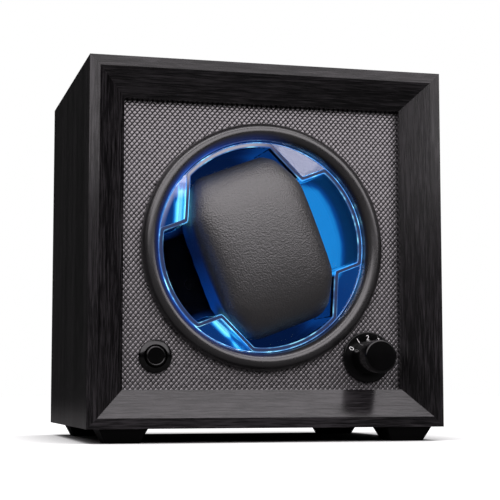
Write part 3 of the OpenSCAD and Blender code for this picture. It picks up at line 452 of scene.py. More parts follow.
def glow_material(name, base, start, end, rough=0.5, front=None):
    """Dark plastic in the bowl, with the LEDs' blue light painted on it as emission."""
    mat, tree = new_material(name)
    fine = grain_noise(tree, coords(tree), 2600.0, 3.0)
    finish_principled(tree, {
        "Base Color": base,
        "Roughness": rough,
        "Specular IOR Level": 0.02,
        "Emission Color": ramp(tree, bowl_light(tree, start, end, front), [
            (0.0, (0.0, 0.0, 0.0)), (0.35, (0.002, 0.014, 0.075)), (0.6, (0.003, 0.05, 0.24)),
            (0.8, (0.010, 0.20, 0.58)), (1.0, (0.012, 0.235, 0.66))]),
        "Emission Strength": 1.0,
        "Normal": bump(tree, fine, 0.1, 0.00004)})
    return mat


def lobe_glow(tree):
    """Painted cyan glow (emission) for the light caught in the walls of the lobes: patches with clear edges,
    navy towards front and back.
    """
    x, y, _ = from_axis(tree)
    near = between_depths(tree, y, 15.0, 24.0)
    far = between_depths(tree, y, 43.0, 34.0)
    patch = spread(tree, grain_noise(tree, coords(tree), 75.0, 1.0), 0.40, 0.50, 0.15, 1.0)
    side = spread(tree, x, 0.0, 0.02, 1.0, 0.55)
    # The walls look bright but cast little light on the pieces round them
    diffuse_ray = add(tree, "LightPath").outputs["Is Diffuse Ray"]
    cast = maths(tree, "MULTIPLY_ADD", diffuse_ray, -0.75, 1.0)
    return ramp(tree, product(tree, near, far, patch, side, cast), [
        (0.0, (0.002, 0.02, 0.11)), (0.45, (0.006, 0.16, 0.55)),
        (0.75, (0.06, 0.60, 0.95)), (1.0, (0.22, 0.78, 1.0))])


def edge_glow(tree):
    """Painted blue glow (emission) along the cup's edges, with painted cyan glints where a noise pattern
    peaks.
    """
    patch = grain_noise(tree, coords(tree), 130.0, 2.0)
    return ramp(tree, patch, [
        (0.34, (0.030, 0.070, 0.19)), (0.50, (0.058, 0.122, 0.288)),
        (0.58, (0.09, 0.26, 0.52)), (0.66, (0.30, 0.75, 1.0))])


def pale_sheen(tree):
    """Painted whitish reflection (emission) on the front of the upper left lobe: its top, and a crescent down
    its outer edge.
    """
    x, _, z = from_axis(tree)
    top = spread(tree, z, 0.0205, 0.0235)
    rim = spread(tree, radius_from_axis(tree), 44.8, 46.6)
    crescent = product(tree, rim, spread(tree, z, 0.004, 0.018))
    left = spread(tree, x, -0.022, -0.028)
    level = product(tree, maths(tree, "MAXIMUM", top, crescent), left)
    return ramp(tree, level, [(0.0, (0.0, 0.0, 0.0)), (1.0, (0.25, 0.25, 0.32))])


def clear_material(name, tint, rough=0.015, ior=1.58, coat=0.0, glow=None, strength=1.0):
    """Clear moulded acrylic; light passes through it on its way to the pillow."""
    mat, tree = new_material(name)
    ripple = grain_noise(tree, coords(tree), 260.0, 2.0)
    inputs = {
        "Base Color": tint,
        "Roughness": rough,
        "IOR": ior,
        "Transmission Weight": 1.0,
        "Normal": bump(tree, ripple, 0.03, 0.0003),
        "Coat Weight": coat,
        "Coat Roughness": 0.02}
    # A glow, where given, is painted light: emission on the acrylic
    if glow:
        inputs["Emission Color"] = glow(tree)
        inputs["Emission Strength"] = strength
    acrylic = add(tree, "BsdfPrincipled", inputs).outputs[0]
    passing = add(tree, "BsdfTransparent", {"Color": (0.80, 0.88, 0.97, 1.0)}).outputs[0]
    shadow_ray = add(tree, "LightPath").outputs["Is Shadow Ray"]
    finish_material(tree, add(tree, "MixShader", {0: shadow_ray, 1: acrylic, 2: passing}).outputs[0])
    return mat


def wall_end_material():
    """The cup wall's front end: a dark base with a painted slate-blue glow, and a painted whitish highlight
    on the arc at the upper left.
    """
    mat, tree = new_material("wall_end")
    x, _, z = from_axis(tree)
    upper_left = maths(tree, "MULTIPLY_ADD", x, -0.45, maths(tree, "MULTIPLY", z, 0.9))
    finish_principled(tree, {
        "Base Color": (0.012, 0.014, 0.024, 1),
        "Roughness": 0.30,
        "Specular IOR Level": 0.2,
        # Emission: painted blue glow, turning into a painted whitish highlight at the upper left
        "Emission Color": ramp(tree, spread(tree, upper_left, 0.034, 0.044), [
            (0.0, (0.016, 0.028, 0.085)), (0.5, (0.09, 0.09, 0.17)), (1.0, (0.36, 0.35, 0.43))]),
        "Emission Strength": 1.0})
    return mat


def leather_material():
    """Dark grey pebbled leatherette; its flat ends are painted near black (painted shade) and the cup's blue
    light is painted on them as emission.
    """
    mat, tree = new_material("leatherette")
    vector = coords(tree)
    pebbles = {"Vector": vector, "Scale": 1500.0, "Smoothness": 0.6, "Randomness": 1.0}
    cell = add(tree, "TexVoronoi", pebbles, feature="SMOOTH_F1").outputs["Distance"]
    soft = grain_noise(tree, vector, 900.0, 4.0)
    height = maths(tree, "MULTIPLY_ADD", soft, 0.6, maths(tree, "MULTIPLY", cell, -0.9))
    x, y, z = from_axis(tree)
    along, _ = along_and_across(tree, x, z)
    far_out = spread(tree, absolute(tree, along), 0.0250, 0.0263)
    # On the flat ends: near-black colour as painted shade, and blue emission as painted light of the cup
    end = product(tree, far_out, between_depths(tree, y, 12.5, 19.0))
    wash = product(tree, end, spread(tree, absolute(tree, z), 0.004, 0.026, 0.45, 1.0))
    hide = ramp(tree, soft, [(0.3, (0.025, 0.0245, 0.0245)), (0.7, (0.042, 0.041, 0.041))])
    finish_principled(tree, {
        "Base Color": mix(tree, end, hide, (0.003, 0.003, 0.0045, 1)),
        "Roughness": spread(tree, cell, 0.0, 0.6, 0.38, 0.48),
        "Specular IOR Level": 1.0,
        "Normal": bump(tree, height, 0.7, 0.00030),
        "Emission Color": ramp(tree, wash, [
            (0.0, (0.0, 0.0, 0.0)), (0.45, (0.0006, 0.006, 0.038)), (1.0, (0.001, 0.030, 0.19))]),
        "Emission Strength": 1.0})
    return mat


CLEAR = (0.95, 0.97, 1.0, 1)
BOWL_BLACK = (0.0015, 0.002, 0.004, 1)
MATERIALS = {
    "ash_x": ash("black_ash_across", 0),
    "ash_z": ash("black_ash_upright", 2),
    "raw_timber": fibre("raw_timber", (0.42, 0.30, 0.17), (0.68, 0.54, 0.36), 260.0),
    "back_board": moulded("back_board", (0.022, 0.022, 0.023), 0.6, 900.0, 0.3),
    "black_steel": metal("black_steel", (0.07, 0.07, 0.075), 0.38),
    "blackened_steel": metal("blackened_steel", (0.004, 0.004, 0.005), 0.5),
    "fibreboard": fibre("fibreboard", (0.30, 0.21, 0.12), (0.46, 0.34, 0.22)),
    "weave_pads": weave_material(),
    "weave_back": moulded("weave_back", (0.012, 0.0115, 0.012), 0.7, 1500.0, 0.4),
    "foot_plastic": moulded("foot_plastic", (0.0015, 0.0015, 0.0016), 0.5, 1800.0, 0.2, 0.12),
    "ring_satin": ring_material(),
    "housing_plastic": glow_material("housing_plastic", BOWL_BLACK, 30.0, 38.0, 0.4, (30.0, 52.0)),
    "zinc_steel": metal("zinc_steel", (0.62, 0.63, 0.65), 0.32),
    "led_mask": glow_material("led_mask", BOWL_BLACK, 30.0, 36.0),
    "led_lens": glow_material("led_lens", (0.002, 0.004, 0.012, 1), 30.0, 36.0, 0.3),
    "clear_face": clear_material("clear_face", CLEAR),
    "clear_window": clear_material("clear_window", CLEAR, coat=1.0, glow=pale_sheen),
    "clear_thin": clear_material("clear_thin", CLEAR, ior=1.07),
    "clear_edge": clear_material("clear_edge", (0.80, 0.90, 1.0, 1), 0.12, glow=edge_glow),
    "wall_end": wall_end_material(),
    "lobe_wall": clear_material("lobe_wall", (0.55, 0.80, 1.0, 1), 0.03, glow=lobe_glow, strength=0.85),
    "ground_steel": metal("ground_steel", (0.66, 0.67, 0.69), 0.22, 1),
    "bronze": metal("bronze", (0.60, 0.42, 0.20), 0.35),
    "pulley_plastic": moulded("pulley_plastic", (0.72, 0.71, 0.67), 0.45),
    "belt_rubber": moulded("belt_rubber", (0.018, 0.018, 0.018), 0.75, 1200.0, 0.4),
    "gearbox_metal": metal("gearbox_metal", (0.58, 0.59, 0.61), 0.4),
    "bracket_steel": metal("bracket_steel", (0.55, 0.56, 0.58), 0.36, 0),
    "leatherette": leather_material(),
    "foam": fibre("foam", (0.55, 0.51, 0.36), (0.78, 0.74, 0.56), 1800.0, 0.95),
    "gloss_black": moulded("gloss_black", (0.0010, 0.0010, 0.0011), 0.15, 2400.0, 0.02, 0.45),
    "dial_black": moulded("dial_black", (0.0010, 0.0010, 0.0011), 0.17, 2600.0, 0.03, 0.30),
    "spring_steel": metal("spring_steel", (0.55, 0.56, 0.58), 0.25),
    "switch_plastic": moulded("switch_plastic", (0.022, 0.022, 0.024), 0.5),
    "green_board": moulded("green_board", (0.015, 0.14, 0.06), 0.35, 700.0, 0.2),
    "chip_plastic": moulded("chip_plastic", (0.016, 0.016, 0.018), 0.5),
    "lead_sheath": moulded("lead_sheath", (0.022, 0.022, 0.022), 0.45),
    "ink": moulded("dial_ink", (0.86, 0.86, 0.86), 0.5, 1500.0, 0.1),
}


def clothe(obj, *materials):
    obj.data.materials.clear()
    for mat in materials:
        obj.data.materials.append(mat)


# ---- Camera, light and floor

def make_camera():
    data = bpy.data.cameras.new("camera")
    data.lens = CAMERA_LENS
    data.sensor_width = CAMERA_SENSOR
    data.clip_start = 0.01
    camera = bpy.data.objects.new("camera", data)
    bpy.context.scene.collection.objects.link(camera)
    camera.location = CAMERA_PLACE
    heading = Matrix.Rotation(-math.radians(CAMERA_YAW), 3, "Z")
    tilt = Matrix.Rotation(math.pi / 2 + math.radians(CAMERA_PITCH), 3, "X")
    roll = Matrix.Rotation(math.radians(CAMERA_ROLL), 3, "Z")
    camera.rotation_euler = (heading @ tilt @ roll).to_euler()
    bpy.context.scene.camera = camera


def area_light(name, place, aim, size, watts):
    data = bpy.data.lights.new(name, "AREA")
    data.shape = "RECTANGLE"
    data.size, data.size_y = size
    data.energy = watts
    data.color = LAMP_COLOUR
    light = bpy.data.objects.new(name, data)
    bpy.context.scene.collection.objects.link(light)
    light.location = place
    light.rotation_euler = (Vector(aim) - Vector(place)).to_track_quat("-Z", "Y").to_euler()


def make_world():
    """White to the camera, and a dim room to the light that falls on the object."""
    world = bpy.data.worlds.new("studio")
    bpy.context.scene.world = world
    world.use_nodes = True
    tree = world.node_tree
    tree.nodes.clear()
    path = add(tree, "LightPath").outputs
    white = add(tree, "Background", {"Color": (1, 1, 1, 1), "Strength": 1.0}).outputs[0]
    dim = maths(tree, "MULTIPLY_ADD", path["Is Glossy Ray"], -0.055, 0.07)
    room = add(tree, "Background", {"Color": (1, 1, 1, 1), "Strength": dim}).outputs[0]
    # The white backdrop stands behind the object and above it, so mirror-like surfaces find it only there
    way = add(tree, "SeparateXYZ", {0: add(tree, "TexCoord").outputs["Generated"]}).outputs
    behind = product(tree, spread(tree, way["Y"], 0.05, 0.35), spread(tree, way["Z"], 0.35, 0.75))
    bounced = maths(tree, "MAXIMUM", path["Is Glossy Ray"], path["Is Transmission Ray"])
    share = maths(tree, "MAXIMUM", path["Is Camera Ray"], product(tree, bounced, behind))
    add(tree, "OutputWorld", {"Surface": add(tree, "MixShader", {0: share, 1: room, 2: white}).outputs[0]})


def make_floor():
    """White to the camera and through clear plastic, with a painted shadow close to the feet; dark grey to
    other rays.
    """
    half = 3.0
    corners = [(-half, -half, 0), (half, -half, 0), (half, half, 0), (-half, half, 0)]
    mesh = bpy.data.meshes.new("floor")
    mesh.from_pydata(corners, [], [(0, 1, 2, 3)])
    floor = bpy.data.objects.new("floor", mesh)
    bpy.context.scene.collection.objects.link(floor)
    mat, tree = new_material("white_floor")
    # Painted shadow: ambient occlusion darkens the white emission near the box; the grey diffuse beside it
    # takes the lamps' shadows
    open_sky = add(tree, "AmbientOcclusion", {"Distance": 0.055}, samples=16).outputs["AO"]
    ao_shaded_white = ramp(tree, open_sky, [(0.30, 0.0), (0.62, 0.55), (0.90, 1.0)])
    white = add(tree, "Emission", {"Color": ao_shaded_white, "Strength": 1.0}).outputs[0]
    grey = add(tree, "BsdfDiffuse", {"Color": (0.3, 0.3, 0.3, 1)}).outputs[0]
    shaded = add(tree, "AddShader", {0: grey, 1: white}).outputs[0]
    paper = add(tree, "BsdfDiffuse", {"Color": (0.11, 0.11, 0.11, 1)}).outputs[0]
    path = add(tree, "LightPath").outputs
    seen = maths(tree, "MAXIMUM", path["Is Camera Ray"], path["Is Transmission Ray"])
    finish_material(tree, add(tree, "MixShader", {0: seen, 1: paper, 2: shaded}).outputs[0])
    clothe(floor, mat)


bpy.context.scene.view_settings.view_transform = "Standard"
make_camera()
make_world()
make_floor()
for lamp in LAMPS:
    area_light(*lamp)


# ---- Making pieces

def link(name, mesh, body, slot, *materials):
    obj = bpy.data.objects.new(name, mesh)
    bpy.context.scene.collection.objects.link(obj)
    clothe(obj, *materials)
    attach(obj, body)
    return obj


def new_mesh(name, verts, polys):
    mesh = bpy.data.meshes.new(name)
    mesh.from_pydata(verts, [], polys)
    return mesh


def smooth(mesh, degrees):
    """Shades a mesh smooth, apart from edges whose faces meet at more than the angle."""
    mesh.shade_smooth()
    mesh.set_sharp_from_angle(angle=math.radians(degrees))


def face_outward(mesh, merge=False):
    """Turns the faces of a closed mesh outward, with points that coincide joined first if merge is set."""
    bm = bmesh.new()
    bm.from_mesh(mesh)
    if merge:
        bmesh.ops.remove_doubles(bm, verts=bm.verts, dist=1e-7)
    bmesh.ops.recalc_face_normals(bm, faces=bm.faces)
    bm.to_mesh(mesh)
    bm.free()


def apply_modifiers(obj):
    graph = bpy.context.evaluated_depsgraph_get()
    mesh = bpy.data.meshes.new_from_object(obj.evaluated_get(graph))
    obj.modifiers.clear()
    obj.data = mesh


def is_sharp(edge):
    return len(edge.link_faces) != 2 or edge.calc_face_angle() > math.radians(35)


def on_mitre(edge):
    """Whether an edge lies in the plane of a cabinet mitre, where two pieces meet flush."""
    centre = (AXIS_Z + FOOT_H) * MM
    return all(abs(abs(v.co.x) - abs(v.co.z - centre)) < 0.05 * MM for v in edge.verts)


def edge_finished(node, mat, width, segments=2):
    """Stands for a cabinet node with the same shape, its sharp edges eased as on the real piece."""
    bm = bmesh.new()
    bm.from_mesh(NODES[node].data)
    bmesh.ops.remove_doubles(bm, verts=bm.verts, dist=2e-6)
    bmesh.ops.dissolve_limit(bm, angle_limit=math.radians(1.0), verts=bm.verts, edges=bm.edges)
    for face in bm.faces:
        face.smooth = True
    weight = bm.edges.layers.float.new("bevel_weight_edge")
    for edge in bm.edges:
        edge[weight] = 1.0 if is_sharp(edge) and not on_mitre(edge) else 0.0
        edge.smooth = not (is_sharp(edge) and on_mitre(edge))
    mesh = bpy.data.meshes.new(node + "_finished")
    bm.to_mesh(mesh)
    bm.free()
    obj = link(node + "_finished", mesh, "cabinet", NODE_SLOTS[node], mat)
    ease = obj.modifiers.new("ease", "BEVEL")
    ease.width = width * MM
    ease.segments = segments
    ease.limit_method = "WEIGHT"
    even = obj.modifiers.new("even", "WEIGHTED_NORMAL")
    even.mode = "FACE_AREA"
    even.weight = 100
    even.keep_sharp = True
    apply_modifiers(obj)
    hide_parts(node)


def band(first, second, count):
    """Quads between two rings of count points, given the number of each ring's first point."""
    quads = []
    for k in range(count):
        n = (k + 1) % count
        quads.append((first + k, first + n, second + n, second + k))
    return quads


def lathe(name, body, slot, centre, profile, mat, steps):
    """Turns a closed profile of (radius, y) in millimetres round an axis along y."""
    verts = []
    polys = []
    count = len(profile)
    for k in range(steps):
        angle = 2 * math.pi * k / steps
        for r, y in profile:
            verts.append(at(centre[0] + r * math.cos(angle), y, centre[1] + r * math.sin(angle)))
    for k in range(steps):
        here = k * count
        there = (k + 1) % steps * count
        polys += band(here, there, count)
    mesh = new_mesh(name, verts, polys)
    obj = link(name, mesh, body, slot, mat)
    face_outward(mesh, merge=True)
    smooth(mesh, 34)
    return obj


def arc(middle_r, middle_y, r, start, end, steps):
    """Points of a profile's round part, from one angle in degrees to another."""
    points = []
    for i in range(steps + 1):
        angle = math.radians(start + (end - start) * i / steps)
        points.append((middle_r + r * math.cos(angle), middle_y + r * math.sin(angle)))
    return points


# ---- Cabinet: eased edges, and a material for every CAD node that stays

DRESSED = {"front_panel_covering": "weave_back", "led_board_screws": "blackened_steel"}


def finish_cabinet():
    for side, grain in (("top", "ash_x"), ("bottom", "ash_x"), ("left", "ash_z"), ("right", "ash_z")):
        edge_finished("cabinet_" + side + "_board", MATERIALS[grain], BOARD_EASE)
        edge_finished("frame_moulding_" + side, MATERIALS[grain], MOULDING_EASE)
    edge_finished("back_panel", MATERIALS["back_board"], BACK_EASE)
    for place in ("front_left", "front_right", "rear_left", "rear_right"):
        edge_finished("foot_" + place, MATERIALS["foot_plastic"], FOOT_EASE, 3)


def dress_nodes():
    """Gives each CAD node the material of its slot, or the one in DRESSED; replaced nodes may have none."""
    for node, obj in NODES.items():
        key = DRESSED.get(node, NODE_SLOTS[node])
        if key in MATERIALS:
            clothe(obj, MATERIALS[key])


finish_cabinet()
dress_nodes()


# ---- Woven covering: rows of small raised diamonds

def is_uncovered(x, z):
    """Whether a pad shows at least in part, past the frame, ring, button and dial that lie over the cloth."""
    within_frame = max(abs(x), abs(z - AXIS_Z)) <= PANEL_HALF + UNDER_FRAME
    clear_of_ring = math.hypot(x, z - AXIS_Z) >= RING_R - UNDER_PIECE
    clear_of_button = math.hypot(x + CONTROL_X, z - CONTROL_Z) >= BUTTON_R - UNDER_PIECE
    clear_of_dial = math.hypot(x - CONTROL_X, z - CONTROL_Z) >= DIAL_R - UNDER_PIECE
    return within_frame and clear_of_ring and clear_of_button and clear_of_dial


def pad_middles():
    """The middles of the pads, on a grid with every second place left out."""
    for i in WEAVE_COLUMNS:
        for j in WEAVE_ROWS:
            x = WEAVE_START_X + i * WEAVE_PITCH_X / 2
            z = WEAVE_START_Z + j * WEAVE_PITCH_Z / 2
            if (i + j) % 2 == 0 and is_uncovered(x, z):
                yield x, z


def pad_points(x, z):
    """Rings of points from a pad's outline up to its top, whose height varies a little from pad to pad."""
    vary = noise.noise(Vector((x * 0.9, z * 0.9, 3.0)))
    points = []
    for size, lift in PAD_RINGS:
        for k in range(PAD_SIDES):
            angle = 2 * math.pi * k / PAD_SIDES
            round_off = PAD_ROUND_OFF[k % 4]
            points.append(at(x + PAD_HALF_X * size * round_off * math.cos(angle),
                             PANEL_Y + PAD_SINK - PAD_HIGH * lift * (1 + PAD_VARY * vary),
                             z + PAD_HALF_Z * size * round_off * math.sin(angle)))
    points.append(at(x, PANEL_Y + PAD_SINK - PAD_HIGH * (1 + PAD_VARY * vary), z))
    return points


def make_weave():
    verts = []
    polys = []
    for x, z in pad_middles():
        first = len(verts)
        verts += pad_points(x, z)
        for ring in range(len(PAD_RINGS) - 1):
            polys += band(first + ring * PAD_SIDES, first + (ring + 1) * PAD_SIDES, PAD_SIDES)
        top = len(verts) - 1
        last = top - PAD_SIDES
        for k in range(PAD_SIDES):
            polys.append((last + k, last + (k + 1) % PAD_SIDES, top))
    mesh = new_mesh("weave_pads", verts, polys)
    mesh.shade_smooth()
    link("weave_pads", mesh, "cabinet", "woven_covering", MATERIALS["weave_pads"])


make_weave()


# ---- Bezel ring: a smooth half-round with a collar through the panel

def make_ring():
    middle = (RING_R + RING_IN_R) / 2
    half = (RING_R - RING_IN_R) / 2
    profile = [(COLLAR_R, PANEL_Y), (RING_R, PANEL_Y), (RING_R, RING_SHOULDER_Y + RING_STEP)]
    for degrees in range(0, 181, 6):
        angle = math.radians(degrees)
        profile.append((middle + half * math.cos(angle), RING_SHOULDER_Y - RING_RISE * math.sin(angle)))
    profile += [(RING_IN_R, PANEL_Y - 0.5), (RING_IN_R, COLLAR_END_Y), (COLLAR_R, COLLAR_END_Y)]
    ring = lathe("bezel_ring_finished", "cabinet", "ring_satin", (0, AXIS_Z), profile,
                 MATERIALS["ring_satin"], 192)
    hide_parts("bezel_ring")


make_ring()


# ---- Clear cup

def shares_between(near, count):
    """Shares of a stretch after its start up to its end, in count steps and with one near to either end."""
    return [near] + [i / count for i in range(1, count)] + [1 - near, 1.0]


def stretch(start, end):
    """Points after start up to end; the near ones let the corner there round tightly."""
    (x0, z0), (x1, z1) = start, end
    near = NEAR_CORNER / math.hypot(x1 - x0, z1 - z0)
    return [(x0 + (x1 - x0) * f, z0 + (z1 - z0) * f) for f in shares_between(near, 6)]


def arc_stretch(r, start, end):
    """Points on a circle after the angle start up to end, with the same near ones."""
    near = NEAR_CORNER / r / (end - start)
    angles = [start + (end - start) * f for f in shares_between(near, 14)]
    return [(r * math.cos(angle), r * math.sin(angle)) for angle in angles]


def cup_outline(e):
    """The cup's outline between its lobes, grown by e, as (x, z) in the cup's own directions."""
    r = CAVITY_R + e
    level_z = LOBE_Y + e
    level_x = math.sqrt(r * r - level_z * level_z)
    lean = math.tan(LOBE_LEAN)
    corner_x = LOBE_X + e / math.cos(LOBE_LEAN) - e * lean
    # The slanted side is x = k - z * lean; it meets the circle where a quadratic in z says
    k = corner_x + level_z * lean
    qa = 1 + lean * lean
    qb = -2 * k * lean
    qc = k * k - r * r
    top_z = (-qb + math.sqrt(qb * qb - 4 * qa * qc)) / (2 * qa)
    top_x = k - top_z * lean
    quarter = [(r, 0.0)] + arc_stretch(r, 0.0, math.atan2(level_z, level_x))
    quarter += stretch((level_x, level_z), (corner_x, level_z))
    quarter += stretch((corner_x, level_z), (top_x, top_z))
    quarter += arc_stretch(r, math.atan2(top_z, top_x), math.pi / 2)
    upper = quarter + [(-x, z) for x, z in reversed(quarter[:-1])]
    return upper + [(-x, -z) for x, z in upper[1:-1]]


def rounded(outline):
    """The outline with its inner and outer corners rounded, and as many points as before."""
    points = [Vector(p) for p in outline]
    for _ in range(2):
        before = list(points)
        for i, here in enumerate(before):
            last = before[i - 1]
            following = before[(i + 1) % len(before)]
            if (here - last).normalized().dot((following - here).normalized()) < 0.985:
                points[i] = here * 0.5 + (last + following) * 0.25
    return [(p.x, p.y) for p in points]


def on_lobe(a, b):
    """Whether a stretch of the outline runs along a lobe, off the cavity's circle."""
    return math.hypot((a[0] + b[0]) / 2, (a[1] + b[1]) / 2) < CAVITY_R - 0.3


def catches_light(a, b):
    """Whether a stretch gets the painted glow of lobe_wall: the lobes' slanted sides on the left, their level
    ones on the right.
    """
    x = (a[0] + b[0]) / 2
    z = (a[1] + b[1]) / 2
    slanted = abs(z) > LOBE_Y + 0.2
    return on_lobe(a, b) and slanted == (x < 0)


def cup_loop(e, y):
    """The cup's outline, grown by e, at a depth."""
    return [turned_point(x, y, z) for x, z in rounded(cup_outline(e))]


def cup_circle(r, y):
    """A circle with a point in the direction of each of the outline's."""
    angles = [math.atan2(z, x) for x, z in rounded(cup_outline(0.0))]
    return [turned_point(r * math.cos(angle), y, r * math.sin(angle)) for angle in angles]


# The cup's kinds of surface, each with its material
FACE, EDGE, LOBE, WALL_END, WINDOW, THIN = range(6)
CUP_MATERIALS = ("clear_face", "clear_edge", "lobe_wall", "wall_end", "clear_window", "clear_thin")


def cup_rows():
    """Closed rows of points from the floor's inside, over the wall's end and rim, to the floor's back.

    Each row is given with the kind of the surface from it to the next one."""
    return [
        (cup_loop(-4.0, CUP_FLOOR_Y), THIN),
        (cup_loop(-1.4, CUP_FLOOR_Y), THIN),
        (cup_loop(-0.45, CUP_FLOOR_Y - 0.4), FACE),
        (cup_loop(0.0, CUP_FLOOR_Y - 1.3), FACE),
        (cup_loop(0.0, 30.0), FACE),
        (cup_loop(0.0, 20.0), FACE),
        (cup_loop(0.0, 14.2), EDGE),
        (cup_loop(0.12, 13.8), EDGE),
        (cup_loop(0.4, PANEL_Y), WALL_END),
        (cup_loop(1.65, PANEL_Y), EDGE),
        (cup_loop(1.85, 13.7), EDGE),
        (cup_loop(1.9, 14.0), WINDOW),
        (cup_circle(46.95, 14.0), EDGE),
        (cup_circle(46.97, 13.72), EDGE),
        (cup_circle(47.03, 13.66), EDGE),
        (cup_circle(RIM_R, 14.1), EDGE),
        (cup_circle(RIM_R, 15.2), EDGE),
        (cup_circle(46.95, 15.5), FACE),
        (cup_loop(CUP_WALL, 15.55), LOBE),
        (cup_loop(CUP_WALL, 22.0), LOBE),
        (cup_loop(CUP_WALL, 30.0), LOBE),
        (cup_loop(CUP_WALL, CUP_BACK_Y - 1.2), FACE),
        (cup_loop(CUP_WALL - 0.4, CUP_BACK_Y - 0.3), FACE),
        (cup_loop(CUP_WALL - 1.3, CUP_BACK_Y), THIN),
        (cup_loop(-4.0, CUP_BACK_Y), THIN),
    ]


def cup_kind(kind, a, b):
    """The kind of surface between two points of the outline, in a row of the given kind."""
    if kind == LOBE and not catches_light(a, b):
        kind = FACE
    # The round wall between the lobes is thin and hardly shows
    if kind == FACE and not on_lobe(a, b):
        kind = THIN
    return kind


def make_cup():
    rows = cup_rows()
    base = rounded(cup_outline(0.0))
    count = len(base)
    verts = []
    polys = []
    kinds = []
    for points, _ in rows:
        verts += points
    for i, (_, kind) in enumerate(rows[:-1]):
        polys += band(i * count, (i + 1) * count, count)
        kinds += [cup_kind(kind, base[k], base[(k + 1) % count]) for k in range(count)]
    last_row = (len(rows) - 1) * count
    polys.append(tuple(range(count - 1, -1, -1)))
    polys.append(tuple(range(last_row, last_row + count)))
    kinds += [THIN, THIN]
    mesh = new_mesh("clear_cup_finished", verts, polys)
    materials = [MATERIALS[key] for key in CUP_MATERIALS]
    cup = link("clear_cup_finished", mesh, "rotor", "clear_plastic", *materials)
    mesh.polygons.foreach_set("material_index", kinds)
    face_outward(mesh)
    smooth(mesh, 30)
    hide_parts("clear_cup")


make_cup()


# ---- Pillow

def pillow_reach(z):
    """Half the pillow's length at height z over its middle."""
    slope = LOBE_X - (abs(z) - LOBE_Y) * math.tan(LOBE_LEAN) - PILLOW_GAP / math.cos(LOBE_LEAN)
    past = min(max(0.0, abs(z) - PILLOW_HALF + CORNER_R), CORNER_R)
    return min(LOBE_X - PILLOW_GAP, slope) - CORNER_R + math.sqrt(CORNER_R * CORNER_R - past * past)


def pillow_section(crest):
    """An oval: its front half reaches crest before the middle, its back half is the pillow's own."""
    half_z = PILLOW_HALF - PILLOW_SHRINK
    back = PILLOW_BACK - PILLOW_SHRINK - PILLOW_MID_Y
    points = []
    for k in range(PILLOW_AROUND):
        angle = 2 * math.pi * k / PILLOW_AROUND
        up = math.cos(angle)
        rear = math.sin(angle)
        deep = back if rear > 0 else crest
        points.append((deep * math.copysign(abs(rear) ** OVAL_POWER, rear),
                       half_z * math.copysign(abs(up) ** OVAL_POWER, up)))
    return points


def pillow_ring(share, size=1.0, dip=0.0):
    """Points round the pillow at a share of its half length, scaled by size and pulled in by dip."""
    rise = CROWN_RISE * max(0.0, 1 - abs(share) ** CROWN_POWER) ** (1 / CROWN_POWER)
    crest = PILLOW_MID_Y - (PILLOW_FRONT + CROWN_RISE) + rise - PILLOW_SHRINK * 0.5
    points = []
    for y, z in pillow_section(crest):
        reach = share * (pillow_reach(z * size) - PILLOW_SHRINK) - math.copysign(dip, share)
        points.append(turned_point(reach, PILLOW_MID_Y + y * size, z * size))
    return points


def close_end(verts, polys, side, ring):
    """Closes the end on a side, -1 or 1, with ever smaller rings that dip inwards from the end ring."""
    for size in PILLOW_END_SIZES:
        first = len(verts)
        verts += pillow_ring(side, size, PILLOW_END_DIP * (1 - size))
        for k in range(PILLOW_AROUND):
            n = (k + 1) % PILLOW_AROUND
            quad = (ring + k, first + k, first + n, ring + n)
            polys.append(quad if side < 0 else quad[::-1])
        ring = first
    cap = tuple(range(ring, ring + PILLOW_AROUND))
    polys.append(cap if side < 0 else cap[::-1])


def pillow_mesh():
    """A crowned closed form: its front bulges between the ends, which are cut between the lobes."""
    verts = []
    polys = []
    for i in range(PILLOW_ALONG + 1):
        verts += pillow_ring(math.sin(math.radians(-90 + 180 * i / PILLOW_ALONG)))
    for i in range(PILLOW_ALONG):
        polys += band(i * PILLOW_AROUND, (i + 1) * PILLOW_AROUND, PILLOW_AROUND)
    close_end(verts, polys, -1, 0)
    close_end(verts, polys, 1, PILLOW_ALONG * PILLOW_AROUND)
    mesh = new_mesh("pillow", verts, polys)
    face_outward(mesh)
    return mesh


def plump(obj, pressure, cap):
    """Inflates a closed cloth shape a little and keeps every point within cap metres of where it was."""
    scene = bpy.context.scene
    before = [v.co.copy() for v in obj.data.vertices]
    cloth = obj.modifiers.new("cloth", "CLOTH")
    settings = cloth.settings
    settings.use_pressure = True
    settings.uniform_pressure_force = pressure
    settings.quality = 6
    settings.mass = 0.2
    settings.tension_stiffness = 22
    settings.compression_stiffness = 22
    settings.shear_stiffness = 12
    settings.bending_stiffness = 2.5
    settings.effector_weights.gravity = 0
    cloth.point_cache.frame_start = 1
    cloth.point_cache.frame_end = CLOTH_FRAMES
    for number in range(1, CLOTH_FRAMES + 1):
        scene.frame_set(number)
    graph = bpy.context.evaluated_depsgraph_get()
    after = [v.co.copy() for v in obj.evaluated_get(graph).data.vertices]
    obj.modifiers.clear()
    scene.frame_set(1)
    for v, old, new in zip(obj.data.vertices, before, after):
        step = new - old
        if step.length > cap:
            step = step.normalized() * cap
        v.co = old + step


def make_pillow():
    mesh = pillow_mesh()
    pillow = bpy.data.objects.new("pillow", mesh)
    bpy.context.scene.collection.objects.link(pillow)
    mesh.shade_smooth()
    remesh = pillow.modifiers.new("remesh", "REMESH")
    remesh.mode = "VOXEL"
    remesh.voxel_size = VOXEL_SIZE * MM
    apply_modifiers(pillow)
    plump(pillow, CLOTH_PRESSURE, CLOTH_REACH * MM)
    finer = pillow.modifiers.new("finer", "SUBSURF")
    finer.levels = 1
    finer.render_levels = 1
    apply_modifiers(pillow)
    pillow.data.shade_smooth()
    clothe(pillow, MATERIALS["leatherette"])
    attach(pillow, "pillow")
    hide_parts("pillow_cover", "pillow_core")


make_pillow()


# ---- Button and knob

